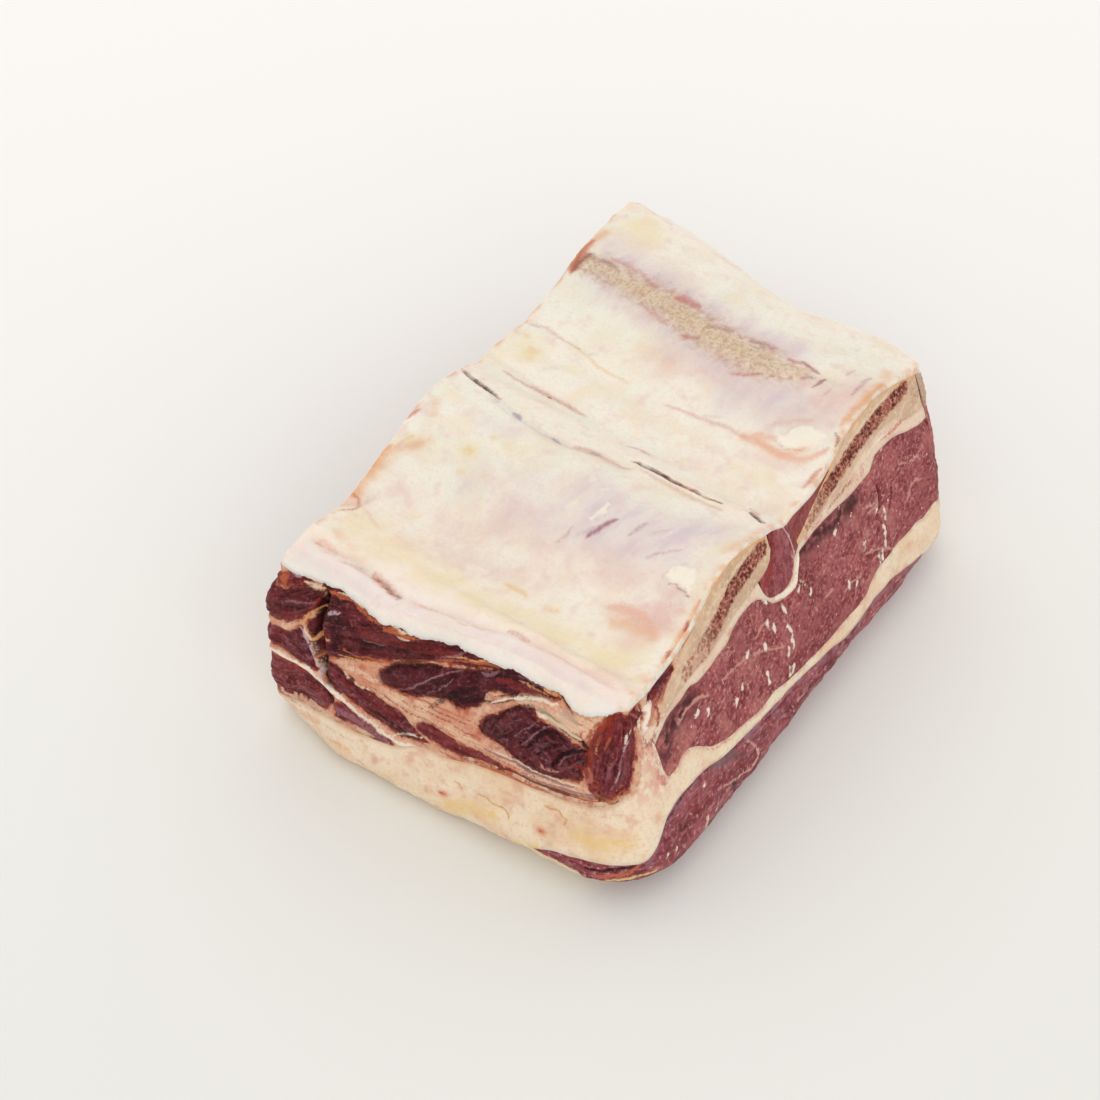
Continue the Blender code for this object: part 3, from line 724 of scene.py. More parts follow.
seam = Skin((FRONT, BACK), fat_floor, fat_top, 0.065, front=0.06, back=0.1, thick=0.065)
x, y, z = seam.flat.T
w = x + y
front_face = seam.s < FRONT + 0.02
veins = strokes(x, z, [
    (0.95, 1.71, 1.22, 1.74, 1.48, 1.68, 1.77, 1.7, 1.94, 1.6, 1.99, 1.42),
    (2.87, 2.38, 3.05, 2.36, 3.25, 2.44, 3.41, 2.35, 3.54, 2.32, 3.51, 2.12),
    (0.25, 1.73, 0.41, 1.69, 0.51, 1.55), (4.3, 0.98, 4.6, 1.06, 4.9, 1.2),
], front_face)
spots = sum(band(x, z, (p, (p[0] + 0.1, p[1] + 0.03)), 0.11) for p in ((-0.06, 1.17), (2.91, 1.57)))
YELLOW = ((0.1, 0.75, 0.72, 1.05, 1.48, 1.38), (4, 2.05, 4.49, 2.05, 4.88, 2.17, 5.18, 2.16))
yellow = sum(band(x, z, p, 0.25) for p in YELLOW) * front_face
yellow = yellow + smooth(-seam.below, -0.45, 0) * front_face * (seam.a < 0.75)
side = seam.right | seam.left
flush = band(w, z, (-2.16, 5.2, -1.83, 4.69, -1.69, 4.27, -1.63, 3.77, -1.52, 3.35), 0.3) * seam.right
fields = {
    "veins": veins,
    "spots": spots * front_face,
    "yellow": np.clip(yellow, 0, 1),
    "edge": bell(seam.above, 0.07) * front_face,
    "flush": np.clip(flush + smooth(z, 2.9, 3.6) * side * 0.7, 0, 1),
    "stain": bell(np.minimum(seam.above, seam.below), 0.07) * side,
}
COLUMN_MARKS = (
    ("flesh", 0.85, 0.17, -6.4, 5, -6, 5.1, -5.6, 5.12, -5.2, 5.2),
    ("flesh", 0.7, 0.12, -6.85, 5.4, -6.7, 5.6), ("blood", 0.8, 0.07, -6.33, 5.61, -6.27, 5.36, -6.40, 5.31),
    ("red", 0.85, 0.07, -6.06, 5.02, -6.04, 4.82, -6.24, 4.6),
    ("white", 0.95, 0.09, -6.6, 5.24, -6.4, 5.2, -6.19, 5.12),
    ("white", 0.95, 0.12, -6.42, 5.1, -6.6, 4.95, -6.8, 4.86),
    ("white", 0.85, 0.07, -6.78, 5.18, -6.94, 4.97),
    ("red", 0.6, 0.09, -6.35, 4.6, -6.5, 4.45, -6.8, 4.44, -6.87, 4.75),
    ("flesh", 0.6, 0.08, -7.05, 4.9, -7, 4.5, -6.95, 4.2),
    ("flesh", 0.55, 0.07, -6.75, 4.3, -6.68, 3.9, -6.72, 3.5),
    ("flesh", 0.6, 0.13, -6.75, 3.5, -6.35, 3.36, -5.95, 3.36), ("red", 0.5, 0.09, -6.7, 3.3, -6.5, 3.15),
    ("rust", 0.45, 0.04, -5.55, 3.25, -5.3, 3.1, -4.7, 2.66, -4, 2.42),
    ("cream", 0.6, 0.06, -7.2, 4, -7.15, 3.6),
)
seam_marks = brush(seam, seam.s, z, COLUMN_MARKS, seam.right)
BAND_MARKS = (
    ("red", 0.55, 0.07, -0.15, 1.17, 0.08, 1.15), ("red", 0.5, 0.06, 2.88, 1.55, 3, 1.6),
    ("orange", 0.6, 0.14, -5.6, 0.7, -5.1, 0.75, -4.5, 0.95, -4.1, 1.1),
    ("orange", 0.55, 0.09, -3.7, 0.85, -2.97, 0.95), ("yellow", 0.5, 0.14, -2.6, 0.5, -1.8, 0.7, -0.6, 0.8),
    ("brown", 0.35, 0.06, -3.9, 1.2, -3.2, 1.25, -2.5, 1.45),
    ("yellow", 0.5, 0.12, 0, 1, 0.8, 1.25, 1.5, 1.35), ("yellow", 0.5, 0.2, 4, 2, 4.5, 2.05, 5, 2.15),
    ("rust", 0.3, 0.08, 3.6, 2.6, 4.2, 2.85, 4.9, 3), ("blood", 0.5, 0.03, -5.6, 0.9, -5, 1.05, -4.4, 1.3),
    ("yellow", 0.6, 0.09, 2, 0.75, 2.8, 0.9, 3.6, 1, 4.4, 1.1),
)
front_marks = brush(seam, x, z, BAND_MARKS, front_face)
fields["marks"], fields["cover"] = seam_marks[0] + front_marks[0], seam_marks[1] + front_marks[1]
lumps = 0.05 * noise(seam.points, 1.1, 30) + 0.022 * noise(seam.points, 0.3, 31)
groove = -0.035 * smooth(-np.abs(veins[:, 0]), -0.06, 0) * veins[:, 1]
relief = (lumps + groove) * smooth(seam.rim, 0, 0.2) + 0.03 * smooth(seam.rim, 0, 0.12)
relief += 0.6 * seam_marks[2] + 0.4 * front_marks[2]
fat_seam = seam.mesh("cut_fat", fields, relief)
tree, shader, here = material_for(fat_seam, (0.45, 0.6), soft=0.3, depth=0.004)
fat = use(tree, FAT, Place=here, Cream=(234, 215, 189), Warm=(229, 200, 168), Pink=(218, 174, 148))
patches = patchy(tree, here, 3.5, 0.42, 0.6)
colour = stained(tree, fat["Colour"], [
    (shown(tree, "yellow", ramp(tree, patches, 0.0, 1.0, 0.45, 0.95)), (228, 194, 136)),
    (shown(tree, "flush", patches), (220, 168, 150)),
    (shown(tree, "stain", ramp(tree, patches, 0.0, 1.0, 0.1, 0.6)), (196, 130, 115)),
    (stroke(tree, here, "veins", Half=0.02, Wobble=0.03, Soft=0.025), (214, 160, 95)),
    (shown(tree, "spots", 0.8), (205, 110, 85)),
    (shown(tree, "edge", 0.5), (205, 150, 110)),
])
colour = marked(tree, colour, here)
finish_material(tree, shader, colour, fat["Height"], 0.0005)
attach(fat_seam, "root")
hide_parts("fat_seam")

# ------------------------------
# Main muscle: the thick muscle below the ribs, sawn across at both ends. Its sawn face is dusty rose with
# pale specks, short fat streaks and a few veins, and darker just under the ribs.
# ------------------------------
RIB_RISE = ((1.25, 0.77), (0.69, 0.69))
RIB_CREST = ((-1.63, -2.06), (6.02, 4.56))
RIB_SPREAD = ((2.24, 2.24), (2.58, 2.41))
SHEET_LEVEL = (5.03, 5.59)
SHEET_ROLL = ((0.43, 0.17), (0.21, 0.1))
GROOVE_AT, GROOVE_WIDTH, GROOVE_DEPTH = 0.3, 0.34, (0.3, 0.1)
FRONT_RISE = ((0, 0.2), (0.3, 0.12), (0.5, 0.25), (0.72, 0.42), (0.85, 0.3), (1, 0.1))
BACK_END = 7.14
MAIN_TOP = (
    (-6.6, 4.28), (-6.2, 4.42), (-5.79, 4.53), (-5.21, 4.54), (-4.73, 4.6), (-4.34, 4.49), (-3.92, 4.5),
    (-3.45, 4.57), (-3.08, 4.57), (-2.58, 4.7), (-2.15, 4.78), (-1.8, 4.79), (-1.45, 4.7), (-1.2, 4.48),
    (-0.95, 4.2), (-0.47, 4.02), (-0.07, 3.98), (0.3, 4.32), (0.6, 4.68), (1.48, 4.71), (2.2, 4.68),
    (2.96, 4.6), (4.01, 4.62), (4.49, 4.82), (5.29, 4.75), (6.18, 4.47), (6.98, 4.3), (7.74, 4.3),
)


def top(s, a):
    """Height of the block's upper side."""
    height = between(a, SHEET_LEVEL) + 0 * s
    for rise, crest, spread in zip(RIB_RISE, RIB_CREST, RIB_SPREAD):
        height = height + between(a, rise) * bell(s - between(a, crest), between(a, spread))
    height = height - between(a, GROOVE_DEPTH) * bell(s - GROOVE_AT, GROOVE_WIDTH)
    height = height + between(a, SHEET_ROLL[0]) * smooth(-s, 4.73, 6.88) - 0.09 * smooth(-s, 7.14, -FRONT)
    height = height + smooth(-s, 6.4, 7.3) * along(a, FRONT_RISE)
    return height - between(a, SHEET_ROLL[1]) * smooth(s, BACK_END, BACK)


def lift(s, a):
    """How much higher the layers under the sheet lie at station a than at the right end."""
    return (top(s, a) - top(s, 1.0)) * smooth(s, -7.4, -6.02)


SHEET_THICK = (
    (-7.74, 0.28), (-6.88, 0.24), (-5.59, 0.21), (-3.96, 0.17), (-1.72, 0.12), (0.26, 0.14),
    (1.98, 0.21), (3.44, 0.12), (6.02, 0.12), (7.74, 0.3),
)
ROLL_EDGE = (
    (0, 5.38), (0.056, 5.39), (0.133, 5.41), (0.169, 5.42), (0.21, 5.36), (0.247, 5.3), (0.281, 5.19),
    (0.308, 5.07), (0.35, 5.19), (0.379, 5.24), (0.41, 5.21), (0.453, 5.32), (0.496, 5.4), (0.539, 5.49),
    (0.575, 5.47), (0.62, 5.51), (0.657, 5.5), (0.693, 5.58), (0.741, 5.59), (0.783, 5.61), (0.83, 5.62),
    (0.844, 5.58), (0.861, 5.46), (0.869, 5.36), (0.893, 5.34), (0.94, 5.46), (0.976, 5.62), (1, 5.68),
)


def sheet_floor(s, a):
    thick = along(s, SHEET_THICK) + 0.22 * bell(s + 0.15, 0.35) * smooth(1 - a, 0.02, 0.08)
    height = top(s, a) - thick
    torn = 0.018 * np.sin(61 * a + 3 * np.sin(47 * a)) + 0.014 * np.sin(163 * a + 4 * np.sin(91 * a))
    edge = np.minimum(along(a, ROLL_EDGE) + torn, top(s, a) - 0.08)
    return height + (edge - height) * smooth(-s, 7.0, -FRONT)


def main_top(s, a):
    under_ribs = along(s, MAIN_TOP) + lift(s, a)
    return under_ribs + (sheet_floor(s, a) - under_ribs) * smooth(s, BACK_END, BACK_END + 0.05)


def line(u, v, points, half):
    """Distance in from the edge of a stroke of that half width, along points; -0.5 well outside."""
    near = close_to(u, v, points, half + 0.5)
    out = np.full(u.shape, -0.5)
    out[near] = np.maximum(half - off_line(u[near], v[near], points)[0], -0.5)
    return out


main = Skin((FAT_COLUMN[1], BACK), fat_top, main_top, 0.05, front=0.6, back=0.07, thick=0.05)
s, (x, y, z) = main.s, main.flat.T
side = main.right | main.left
flecks = np.maximum.reduce([line(s, z, p, 0.055) for p in (
    (-1.25, 4.56, -1.22, 4.42), (-1.44, 4, -1.46, 3.85), (-1.78, 3.58, -1.8, 3.45),
    (-1.26, 3.8, -1.3, 3.62), (-0.82, 3.42, -0.72, 3.15, -0.86, 2.98), (-0.8, 3, -0.88, 2.8),
    (-1.05, 2.88, -1.12, 2.7), (-1.05, 2.36, -1.16, 2.2), (-1.23, 2.4, -1.28, 2.2),
    (-1.98, 2.86, -2.05, 2.62), (-2.9, 3.34, -3.02, 3.22), (-2.45, 3.86, -2.55, 3.78),
    (-4.42, 3.68, -4.52, 3.56), (-4.8, 3.9, -4.92, 3.8), (-3.34, 3.1, -3.45, 3),
    (0.1, 3.92, 0.04, 3.82), (0.5, 3.52, 0.42, 3.44), (2.08, 4.2, 2, 4.12),
    (3.95, 3.68, 3.86, 3.48), (4.18, 3.4, 4.1, 3.14), (3.92, 3, 3.9, 2.8), (3.84, 2.66, 3.8, 2.46),
    (3.62, 2.44, 3.5, 2.22), (3.4, 2.42, 3.34, 2.22), (3.04, 3.16, 2.96, 3), (1.95, 2.68, 1.9, 2.56),
    (2.24, 2.46, 2.16, 2.36), (-0.73, 3.92, -0.7, 3.72),
)])
marbling = strokes(s, z, (
    (-3.7, 3.99, -3.27, 3.9, -2.77, 3.79, -2.49, 3.78), (-2.34, 3.7, -1.85, 3.45, -1.31, 3.12, -1.12, 3.03),
    (-2.03, 3.93, -1.68, 4.03, -1.4, 4), (1.7, 2.55, 2.03, 2.61, 2.5, 2.47), (0.9, 2.96, 1.36, 2.9),
    (2.89, 2.86, 3.48, 2.6, 4.23, 2.06), (4.2, 3.78, 3.83, 3.64, 3.44, 3.71),
    (-5.6, 4.1, -4.9, 4.2, -4.2, 3.95), (5.2, 4, 5.9, 3.7, 6.6, 3.75), (5, 2.9, 5.6, 3.2, 6.1, 3),
), side)
dark = 1.1 * band(s, z, (0.55, 4.7, 1.52, 4.5, 2.45, 4.4, 3.1, 4.4), 0.25)
dark = np.clip(dark + band(s, z, (-6.2, 3.9, -5.98, 4.2, -5.5, 4.25, -4.9, 4.3), 0.3), 0, 1)
along_grain = np.where(side, s * 0.94 + z * 0.35, x)
fields = {
    "flecks": np.where(side, flecks, -0.5),
    "marbling": marbling,
    "dark": dark * side,
    "crumbs": side * 1.0,
    "grain": grain_of(along_grain, np.where(side, z * 0.94 - s * 0.35, z + 0.3 * y)),
}
MAIN_MARKS = (
    ("bone", 1.0, 0.6, 7.3, 6.4, 7.35, 5.4, 7.4, 4.8), ("red", 0.9, 0.05, 7.66, 6.3, 7.68, 5.6, 7.64, 5.1),
    ("pink", 0.7, 0.07, 7, 4.66, 7.35, 4.6, 7.7, 4.5),
    ("blood", 0.8, 0.05, 4.23, 4.22, 4.15, 3.66, 3.75, 3.32),
    ("blood", 0.85, 0.05, 4.81, 3.81, 4.56, 3.36, 4.33, 3.22),
    ("pink", 0.5, 0.06, 5.49, 4.04, 5.9, 3.8, 6.23, 3.52),
    ("blood", 0.6, 0.035, 5.3, 3.9, 5.8, 3.65, 6.1, 3.4),
    ("pink", 0.7, 0.05, 3.3, 3.95, 3.83, 3.74, 4.14, 3.83),
    ("flesh", 0.55, 0.14, 6.8, 4.3, 7.25, 3.9, 7.45, 3.2, 7.4, 2.6), ("rust", 0.5, 0.08, 7.5, 4.2, 7.55, 3.6),
    ("blood", 0.6, 0.06, 6.9, 2.9, 7.3, 2.7), ("mauve", 0.6, 0.05, 2.4, 4, 2.9, 4.05),
    ("pink", 0.5, 0.05, -3.4, 4.5, -3, 4.3, -2.7, 4.05), ("flesh", 0.6, 0.06, -1.9, 4.6, -1.6, 4.3, -1.7, 4),
    ("flesh", 0.5, 0.12, -6.6, 3.45, -6.3, 3.4, -5.9, 3.5), ("red", 0.4, 0.09, -4.9, 3, -4.2, 2.7, -3.4, 2.5),
    ("red", 0.7, 0.05, -0.9, 4.1, -0.5, 3.9, -0.1, 3.95), ("cream", 0.8, 0.05, 0.2, 4, 0.35, 3.8),
    ("brown", 0.8, 0.07, 0.62, 4.3, 0.75, 4.05), ("mauve", 0.5, 0.05, -2.2, 3, -2.6, 2.7),
    ("mauve", 0.45, 0.05, 0.9, 3.5, 1.5, 3.45),
)
fields["marks"], fields["cover"], sunk = brush(main, s, z, MAIN_MARKS, side)
lumps = 0.035 * noise(main.points, 0.9, 40) + 0.016 * noise(main.points * (1, 1, 1.4), 0.16, 41)
relief = lumps * smooth(main.rim, 0, 0.15) + 0.02 * smooth(fields["flecks"], -0.04, 0.02) + sunk
relief += 0.025 * noise(main.points, 0.3, 42) * side * smooth(main.rim, 0, 0.15)
main_muscle = main.mesh("main_meat", fields, relief)
tree, shader, here = material_for(main_muscle, (0.42, 0.62), soft=0.1)
meat = use(
    tree, MUSCLE, Flow=vector(tree, "grain"), Place=here, Gap=(82, 24, 28), Deep=(124, 50, 54),
    Flesh=(170, 94, 94), Light=(208, 152, 142), Along=3.5, Across=9.0, Specks=0.75, Grainy=0.65, Size=10.0,
)
ragged_flecks = ragged(tree, here, "flecks", 7.0, 0.07, 0.025)
crumbs = patchy(tree, here, 6.0, 0.68, 0.72)
pools = patchy(tree, here, 0.8, 0.46, 0.62)
rosy = patchy(tree, here, 1.3, 0.54, 0.66)
colour = stained(tree, meat["Colour"], [
    (times(tree, pools, 0.3), (112, 40, 46)),
    (times(tree, rosy, 0.3), (204, 138, 126)),
    (shown(tree, "dark", patchy(tree, here, 5.0, 0.3, 0.55)), (72, 30, 34)),
    (stroke(tree, here, "marbling", Half=0.035, Wobble=0.06, Soft=0.03), (196, 140, 128)),
    (times(tree, crumbs, field(tree, "crumbs")), (224, 180, 166)),
    (ragged_flecks, (240, 216, 200)),
])
colour = marked(tree, colour, here)
finish_material(tree, shader, colour, math(tree, "ADD", meat["Height"], ragged_flecks), 0.0006)
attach(main_muscle, "root")
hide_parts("main_muscle")

# ------------------------------
# Rib bones: two flat ribs, sawn through at both ends. The rim is dense and cream grey. The middle is red
# brown marrow in open pores, strongest near the end by the groove and paler towards the other.
# ------------------------------
FRONT_BONE, BACK_BONE = (-5.97, -0.43), (0.6, 7.14)
FRONT_BONE_TOP = ((-5.97, 4.78), (-5.58, 5.05), (-5.05, 5.27), (-4.6, 5.5), (-4.29, 5.64), (-3.96, 5.76))
FRONT_BONE_FLOOR = (
    (-5.97, 4.62), (-5.18, 4.74), (-4.62, 4.79), (-4.02, 4.78), (-3.52, 4.84), (-3.11, 4.87), (-2.54, 4.95),
    (-2.03, 5.01), (-1.35, 5.04), (-1.0, 5.1), (-0.6, 5.25), (-0.43, 5.46),
)
BACK_BONE_TOP = ((0.6, 4.98), (1.0, 5.08), (1.39, 5.25), (1.99, 5.52), (2.58, 5.72))
BACK_BONE_FLOOR = (
    (0.6, 4.84), (1.34, 4.91), (1.88, 4.97), (3.05, 5.01), (3.52, 5.11), (4.22, 5.24), (4.89, 5.25),
    (5.6, 5.14), (6.18, 4.78), (7.14, 4.64),
)


def front_bone_top(s, a):
    return np.where(s > FRONT_BONE_TOP[-1][0], sheet_floor(s, a), along(s, FRONT_BONE_TOP) + lift(s, a))


def front_bone_floor(s, a):
    return np.minimum(along(s, FRONT_BONE_FLOOR) + lift(s, a), sheet_floor(s, a) - 0.05)


def back_bone_top(s, a):
    return np.where(s > BACK_BONE_TOP[-1][0], sheet_floor(s, a), along(s, BACK_BONE_TOP) + lift(s, a))


def back_bone_floor(s, a):
    return along(s, BACK_BONE_FLOOR) + lift(s, a)


# Each rib: its name, ends, floor and top, the line of its marrow, where that is raw, the marks on its cut and
# half the marrow's height
RIBS = (
    (
        "front", FRONT_BONE, front_bone_floor, front_bone_top,
        (-0.75, 5.72, -1.3, 5.65, -1.84, 5.6, -2.39, 5.5, -2.81, 5.36, -3.17, 5.22, -3.58, 5.12, -4.02, 5,
         -4.6, 4.9), (-2.9, -3.9),
        (
            # Painted shade: the first, bone-coloured stroke along the lower part of the front rib's cut
            ("bone", 0.75, 0.13, -1, 5.35, -1.9, 5.25, -2.9, 5.08, -3.9, 4.93, -4.8, 4.88),
            ("cream", 0.6, 0.08, -1.4, 6, -2.4, 5.85, -3.4, 5.68),
            ("cream", 0.6, 0.08, -0.6, 5.6, -0.75, 5.35),
            ("bone", 0.5, 0.05, -3.2, 5.5, -3.9, 5.4, -4.6, 5.2), ("pink", 0.4, 0.12, -3.3, 5.1, -4.1, 4.95),
        ),
        0.24,
    ),
    (
        "back", BACK_BONE, back_bone_floor, back_bone_top,
        (6.5, 5.55, 5.55, 5.59, 4.87, 5.6, 4.25, 5.57, 3.58, 5.5, 3.04, 5.42, 2.51, 5.36, 1.9, 5.25,
         1.2, 5.05), (2.6, 1.2),
        (
            ("mauve", 0.4, 0.24, 6.78, 5.75, 6.93, 5.3, 6.84, 4.9),
            ("bone", 0.6, 0.08, 6.3, 5.2, 5.2, 5.4, 4.2, 5.38, 3.2, 5.24),
            ("cream", 0.6, 0.08, 5.6, 5.85, 4.6, 5.85, 3.6, 5.76, 3, 5.65),
            ("flesh", 0.6, 0.06, 1.2, 5.1, 1.8, 5.2, 2.3, 5.28),
        ),
        0.21,
    ),
)
for name, span, floor, roof, core, ends, marks, half in RIBS:
    bone = Skin(span, floor, roof, 0.045, thick=0.045)
    s, z = bone.s, bone.z
    side = bone.right | bone.left
    level = z - lift(s, bone.a)
    fields = {
        "marrow": np.where(side, line(s, level, core, half), -0.5),
        "raw": smooth(s, ends[1], ends[0]),
        "line": bell(bone.above, 0.07) * side,
        "grain": grain_of(s + 0.25 * z, z - 0.3 * s),
    }
    fields["marks"], fields["cover"], sunk = brush(bone, s, level, marks, side)
    pores = smooth(noise(bone.points, 0.13, 50), 0.05, 0.3) * smooth(fields["marrow"], -0.04, 0.06)
    hollows = 0.04 * pores * (0.4 + 0.6 * fields["raw"])
    relief = (0.012 * noise(bone.points, 0.4, 51) - hollows) * smooth(bone.rim, 0, 0.1)
    rib = bone.mesh(f"{name}_rib", fields, relief)
    tree, shader, here = material_for(rib, (0.5, 0.7), soft=0.15)
    streaks = use(
        tree, MUSCLE, Flow=vector(tree, "grain"), Place=here, Gap=(180, 146, 118), Deep=(198, 164, 136),
        Flesh=(214, 184, 154), Light=(232, 206, 184), Along=1.0, Across=3.0, Specks=0.6, Grainy=0.5,
    )
    under = marked(tree, streaks["Colour"], here)
    cells = {"Vector": here, "Scale": 10.0, "Randomness": 1.0}
    cells = node(tree, "ShaderNodeTexVoronoi", cells).outputs["Distance"]
    marrow = ragged(tree, here, "marrow", 5.0, 0.06, 0.06)
    clumps = patchy(tree, here, 2.5, 0.36, 0.56)
    holes = ramp(tree, cells, 0.36, 0.6, 1.0, 0.0)
    holes = times(tree, holes, times(tree, marrow, ramp(tree, clumps, 0.0, 1.0, 0.3, 1.0)))
    grit = patchy(tree, here, 14.0, 0.44, 0.6)
    spongy = mix(tree, field(tree, "raw"), (210, 160, 134), mix(tree, grit, (144, 64, 54), (202, 132, 110)))
    deep = mix(tree, field(tree, "raw"), (178, 112, 90), (80, 22, 20))
    colour = mix(tree, times(tree, marrow, ramp(tree, field(tree, "raw"), 0.0, 1.0, 0.4, 0.9)), under, spongy)
    colour = mix(tree, times(tree, holes, 0.85), colour, deep)
    colour = stained(tree, colour, [
        (shown(tree, "line", patchy(tree, here, 2.0, 0.4, 0.55)), (228, 166, 108)),
    ])
    finish_material(tree, shader, colour, math(tree, "SUBTRACT", streaks["Height"], holes), 0.0004)
    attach(rib, "root")
    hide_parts(f"rib_bone_{name}")

# ------------------------------
# Rib fat: the thin fat between the ribs and the main muscle, whiter and thicker under the middle muscle.
# ------------------------------
MIDDLE_MUSCLE = (-1.16, 2.5)
MIDDLE_MUSCLE_FLOOR = (
    (-1.16, 4.7), (-1.09, 4.5), (-0.87, 4.33), (-0.47, 4.18), (-0.08, 4.27), (0.15, 4.45), (0.28, 4.63),
    (0.6, 4.82),
)


def rib_fat_top(s, a):
    edge = between(a, COLUMN_TOP) + COLUMN_CAP
    before = edge + (front_bone_floor(s, a) - edge) * smooth(s, FAT_COLUMN[0], FRONT_BONE[0])
    height = np.where(s < FRONT_BONE[0], before, front_bone_floor(s, a))
    height = np.where(s > MIDDLE_MUSCLE[0] - 0.01, along(s, MIDDLE_MUSCLE_FLOOR) + lift(s, a), height)
    return np.where(s > BACK_BONE[0] + 0.01, back_bone_floor(s, a), height)


def rib_fat_floor(s, a):
    return np.where(s < FAT_COLUMN[1] + 0.01, between(a, COLUMN_TOP), main_top(s, a))


thin = Skin((FAT_COLUMN[0], BACK_END), rib_fat_floor, rib_fat_top, 0.05, thick=0.05)
s, z = thin.s, thin.z
fields = {
    "flush": bell(thin.rim, 0.04),
}
level = z - lift(s, thin.a)
fields["marks"], fields["cover"], sunk = brush(thin, s, level, COLUMN_MARKS + (
    ("flesh", 0.8, 0.06, 6.1, 4.85, 5.43, 4.9, 4.82, 5),
    ("red", 0.65, 0.06, 3.22, 4.9, 2.83, 4.86, 2.49, 4.87, 2.09, 4.85),
    ("white", 0.6, 0.05, 5.2, 4.98, 4.5, 5.08, 3.9, 5), ("flesh", 0.6, 0.05, 1.8, 4.84, 1.2, 4.82),
    ("flesh", 0.5, 0.06, 3.9, 4.85, 3.4, 4.75),
    ("white", 0.9, 0.09, 0.45, 4.62, 0.32, 4.45, 0.16, 4.25, -0.07, 4.12, -0.5, 4.12, -0.85, 4.28),
), thin.right | thin.left)
relief = 0.015 * noise(thin.points, 0.3, 60) * smooth(thin.rim, 0, 0.08) + sunk
rib_fat = thin.mesh("rib_lining_fat", fields, relief)
tree, shader, here = material_for(rib_fat, (0.45, 0.6), soft=0.25, depth=0.003)
fat = use(tree, FAT, Place=here, Cream=(230, 206, 182), Warm=(222, 190, 164), Pink=(208, 156, 138))
colour = stained(tree, fat["Colour"], [
    (shown(tree, "flush", 0.35), (196, 134, 122)),
])
colour = marked(tree, colour, here)
finish_material(tree, shader, colour, fat["Height"], 0.0004)
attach(rib_fat, "root")
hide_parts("rib_fat")

# ------------------------------
# Middle muscle: the muscle from between the two ribs, under the groove, sawn across. Purple maroon, red at
# the side of the front rib, with a whitish membrane on the other side.
# ------------------------------
def middle_floor(s, a):
    open_floor = along(s, MIDDLE_MUSCLE_FLOOR) + lift(s, a)
    return np.where(s > BACK_BONE[0] - 0.01, back_bone_top(s, a), open_floor)


def middle_roof(s, a):
    return np.where(s > FRONT_BONE[1] + 0.01, sheet_floor(s, a), front_bone_floor(s, a))


middle = Skin(MIDDLE_MUSCLE, middle_floor, middle_roof, 0.045, thick=0.045)
s, z = middle.s, middle.z
level = z - lift(s, middle.a)
fields = {
    "red": np.clip(band(s, level, (-0.19, 5.95, -0.43, 5.46, -0.66, 5.08, -1, 4.86), 0.14), 0, 1),
    "skin": strokes(s, level, [(0.22, 5.9, 0.25, 5.66, 0.38, 5.2, 0.33, 4.75, 0.02, 4.3)]),
    "grain": grain_of(level + 0.3 * s, s - 0.35 * level),
    "brown": smooth(s, 0.35, 0.6),
}
side = middle.right | middle.left
MIDDLE_MARKS = (
    ("blood", 0.7, 0.09, -0.75, 5.2, -0.45, 5.5, -0.2, 5.85),
    ("red", 0.6, 0.05, -0.3, 5.75, -0.05, 5.4, 0, 5), ("mauve", 0.6, 0.06, 0.1, 5.7, 0.15, 5.2, 0.05, 4.7),
    ("blood", 0.5, 0.08, -0.5, 5.2, -0.35, 4.8, -0.4, 4.45), ("flesh", 0.5, 0.05, -0.75, 4.9, -0.55, 4.6),
    ("blood", 0.5, 0.07, 0.5, 5.3, 0.9, 5.4, 1.3, 5.55), ("flesh", 0.5, 0.06, 0.45, 5.6, 0.8, 5.7, 1.3, 5.8),
    ("pink", 0.7, 0.04, 0.25, 4.9, 0.2, 4.6), ("rust", 0.5, 0.05, 1.6, 5.6, 2.1, 5.75),
)
fields["marks"], fields["cover"], sunk = brush(middle, s, level, MIDDLE_MARKS, side)
lumps = 0.025 * noise(middle.points, 0.5, 70) + 0.018 * noise(middle.points, 0.15, 71)
relief = lumps * smooth(middle.rim, 0, 0.1) + sunk
middle_muscle = middle.mesh("middle_meat", fields, relief)
tree, shader, here = material_for(middle_muscle, (0.4, 0.6), soft=0.1)
meat = use(
    tree, MUSCLE, Flow=vector(tree, "grain"), Place=here, Gap=(84, 26, 32), Deep=(118, 48, 54),
    Flesh=(156, 82, 86), Light=(192, 128, 128), Along=1.6, Across=8.0, Specks=0.6, Grainy=0.45,
)
colour = stained(tree, meat["Colour"], [
    (shown(tree, "brown", 0.6), (138, 64, 56)),
    (shown(tree, "red", 0.75), (142, 42, 38)),
    (stroke(tree, here, "skin", Half=0.025, Wobble=0.03), (205, 170, 165)),
])
colour = marked(tree, colour, here)
finish_material(tree, shader, colour, meat["Height"], 0.0006)
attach(middle_muscle, "root")
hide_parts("middle_muscle")

# ------------------------------
# Front muscle: the half of the next muscle between ribs, opened by the front knife cut. Dark lobes of meat,
# dried and nearly black in places, lie in cream fascia, with a deep cleft near the left end. The cleft and
# the creases between some fibres are painted dark as shade, and thin lines along some fibres are painted
# glints.
# ------------------------------
FRONT_MUSCLE_END = -4.47


def front_muscle_floor(s, a):
    over_fat = np.where(s < FAT_COLUMN[0], fat_top(s, a), rib_fat_top(s, a))
    return np.where(s > FRONT_BONE[0] - 0.01, front_bone_top(s, a), over_fat)


def inside(u, v, points):
    """How deep (u, v) lies inside a closed outline; negative outside it."""
    path = curve_through([*points, *points[:2]])
    gap = off_line(u, v, path, curved=False)[0]
    crossings = np.zeros(u.shape, int)
    for p, q in zip(path, path[1:]):
        if p[1] == q[1]:
            continue
        spans = (v >= min(p[1], q[1])) & (v < max(p[1], q[1]))
        crossings += spans & (u < p[0] + (v - p[1]) / (q[1] - p[1]) * (q[0] - p[0]))
    return np.where(crossings % 2 == 1, gap, -gap)


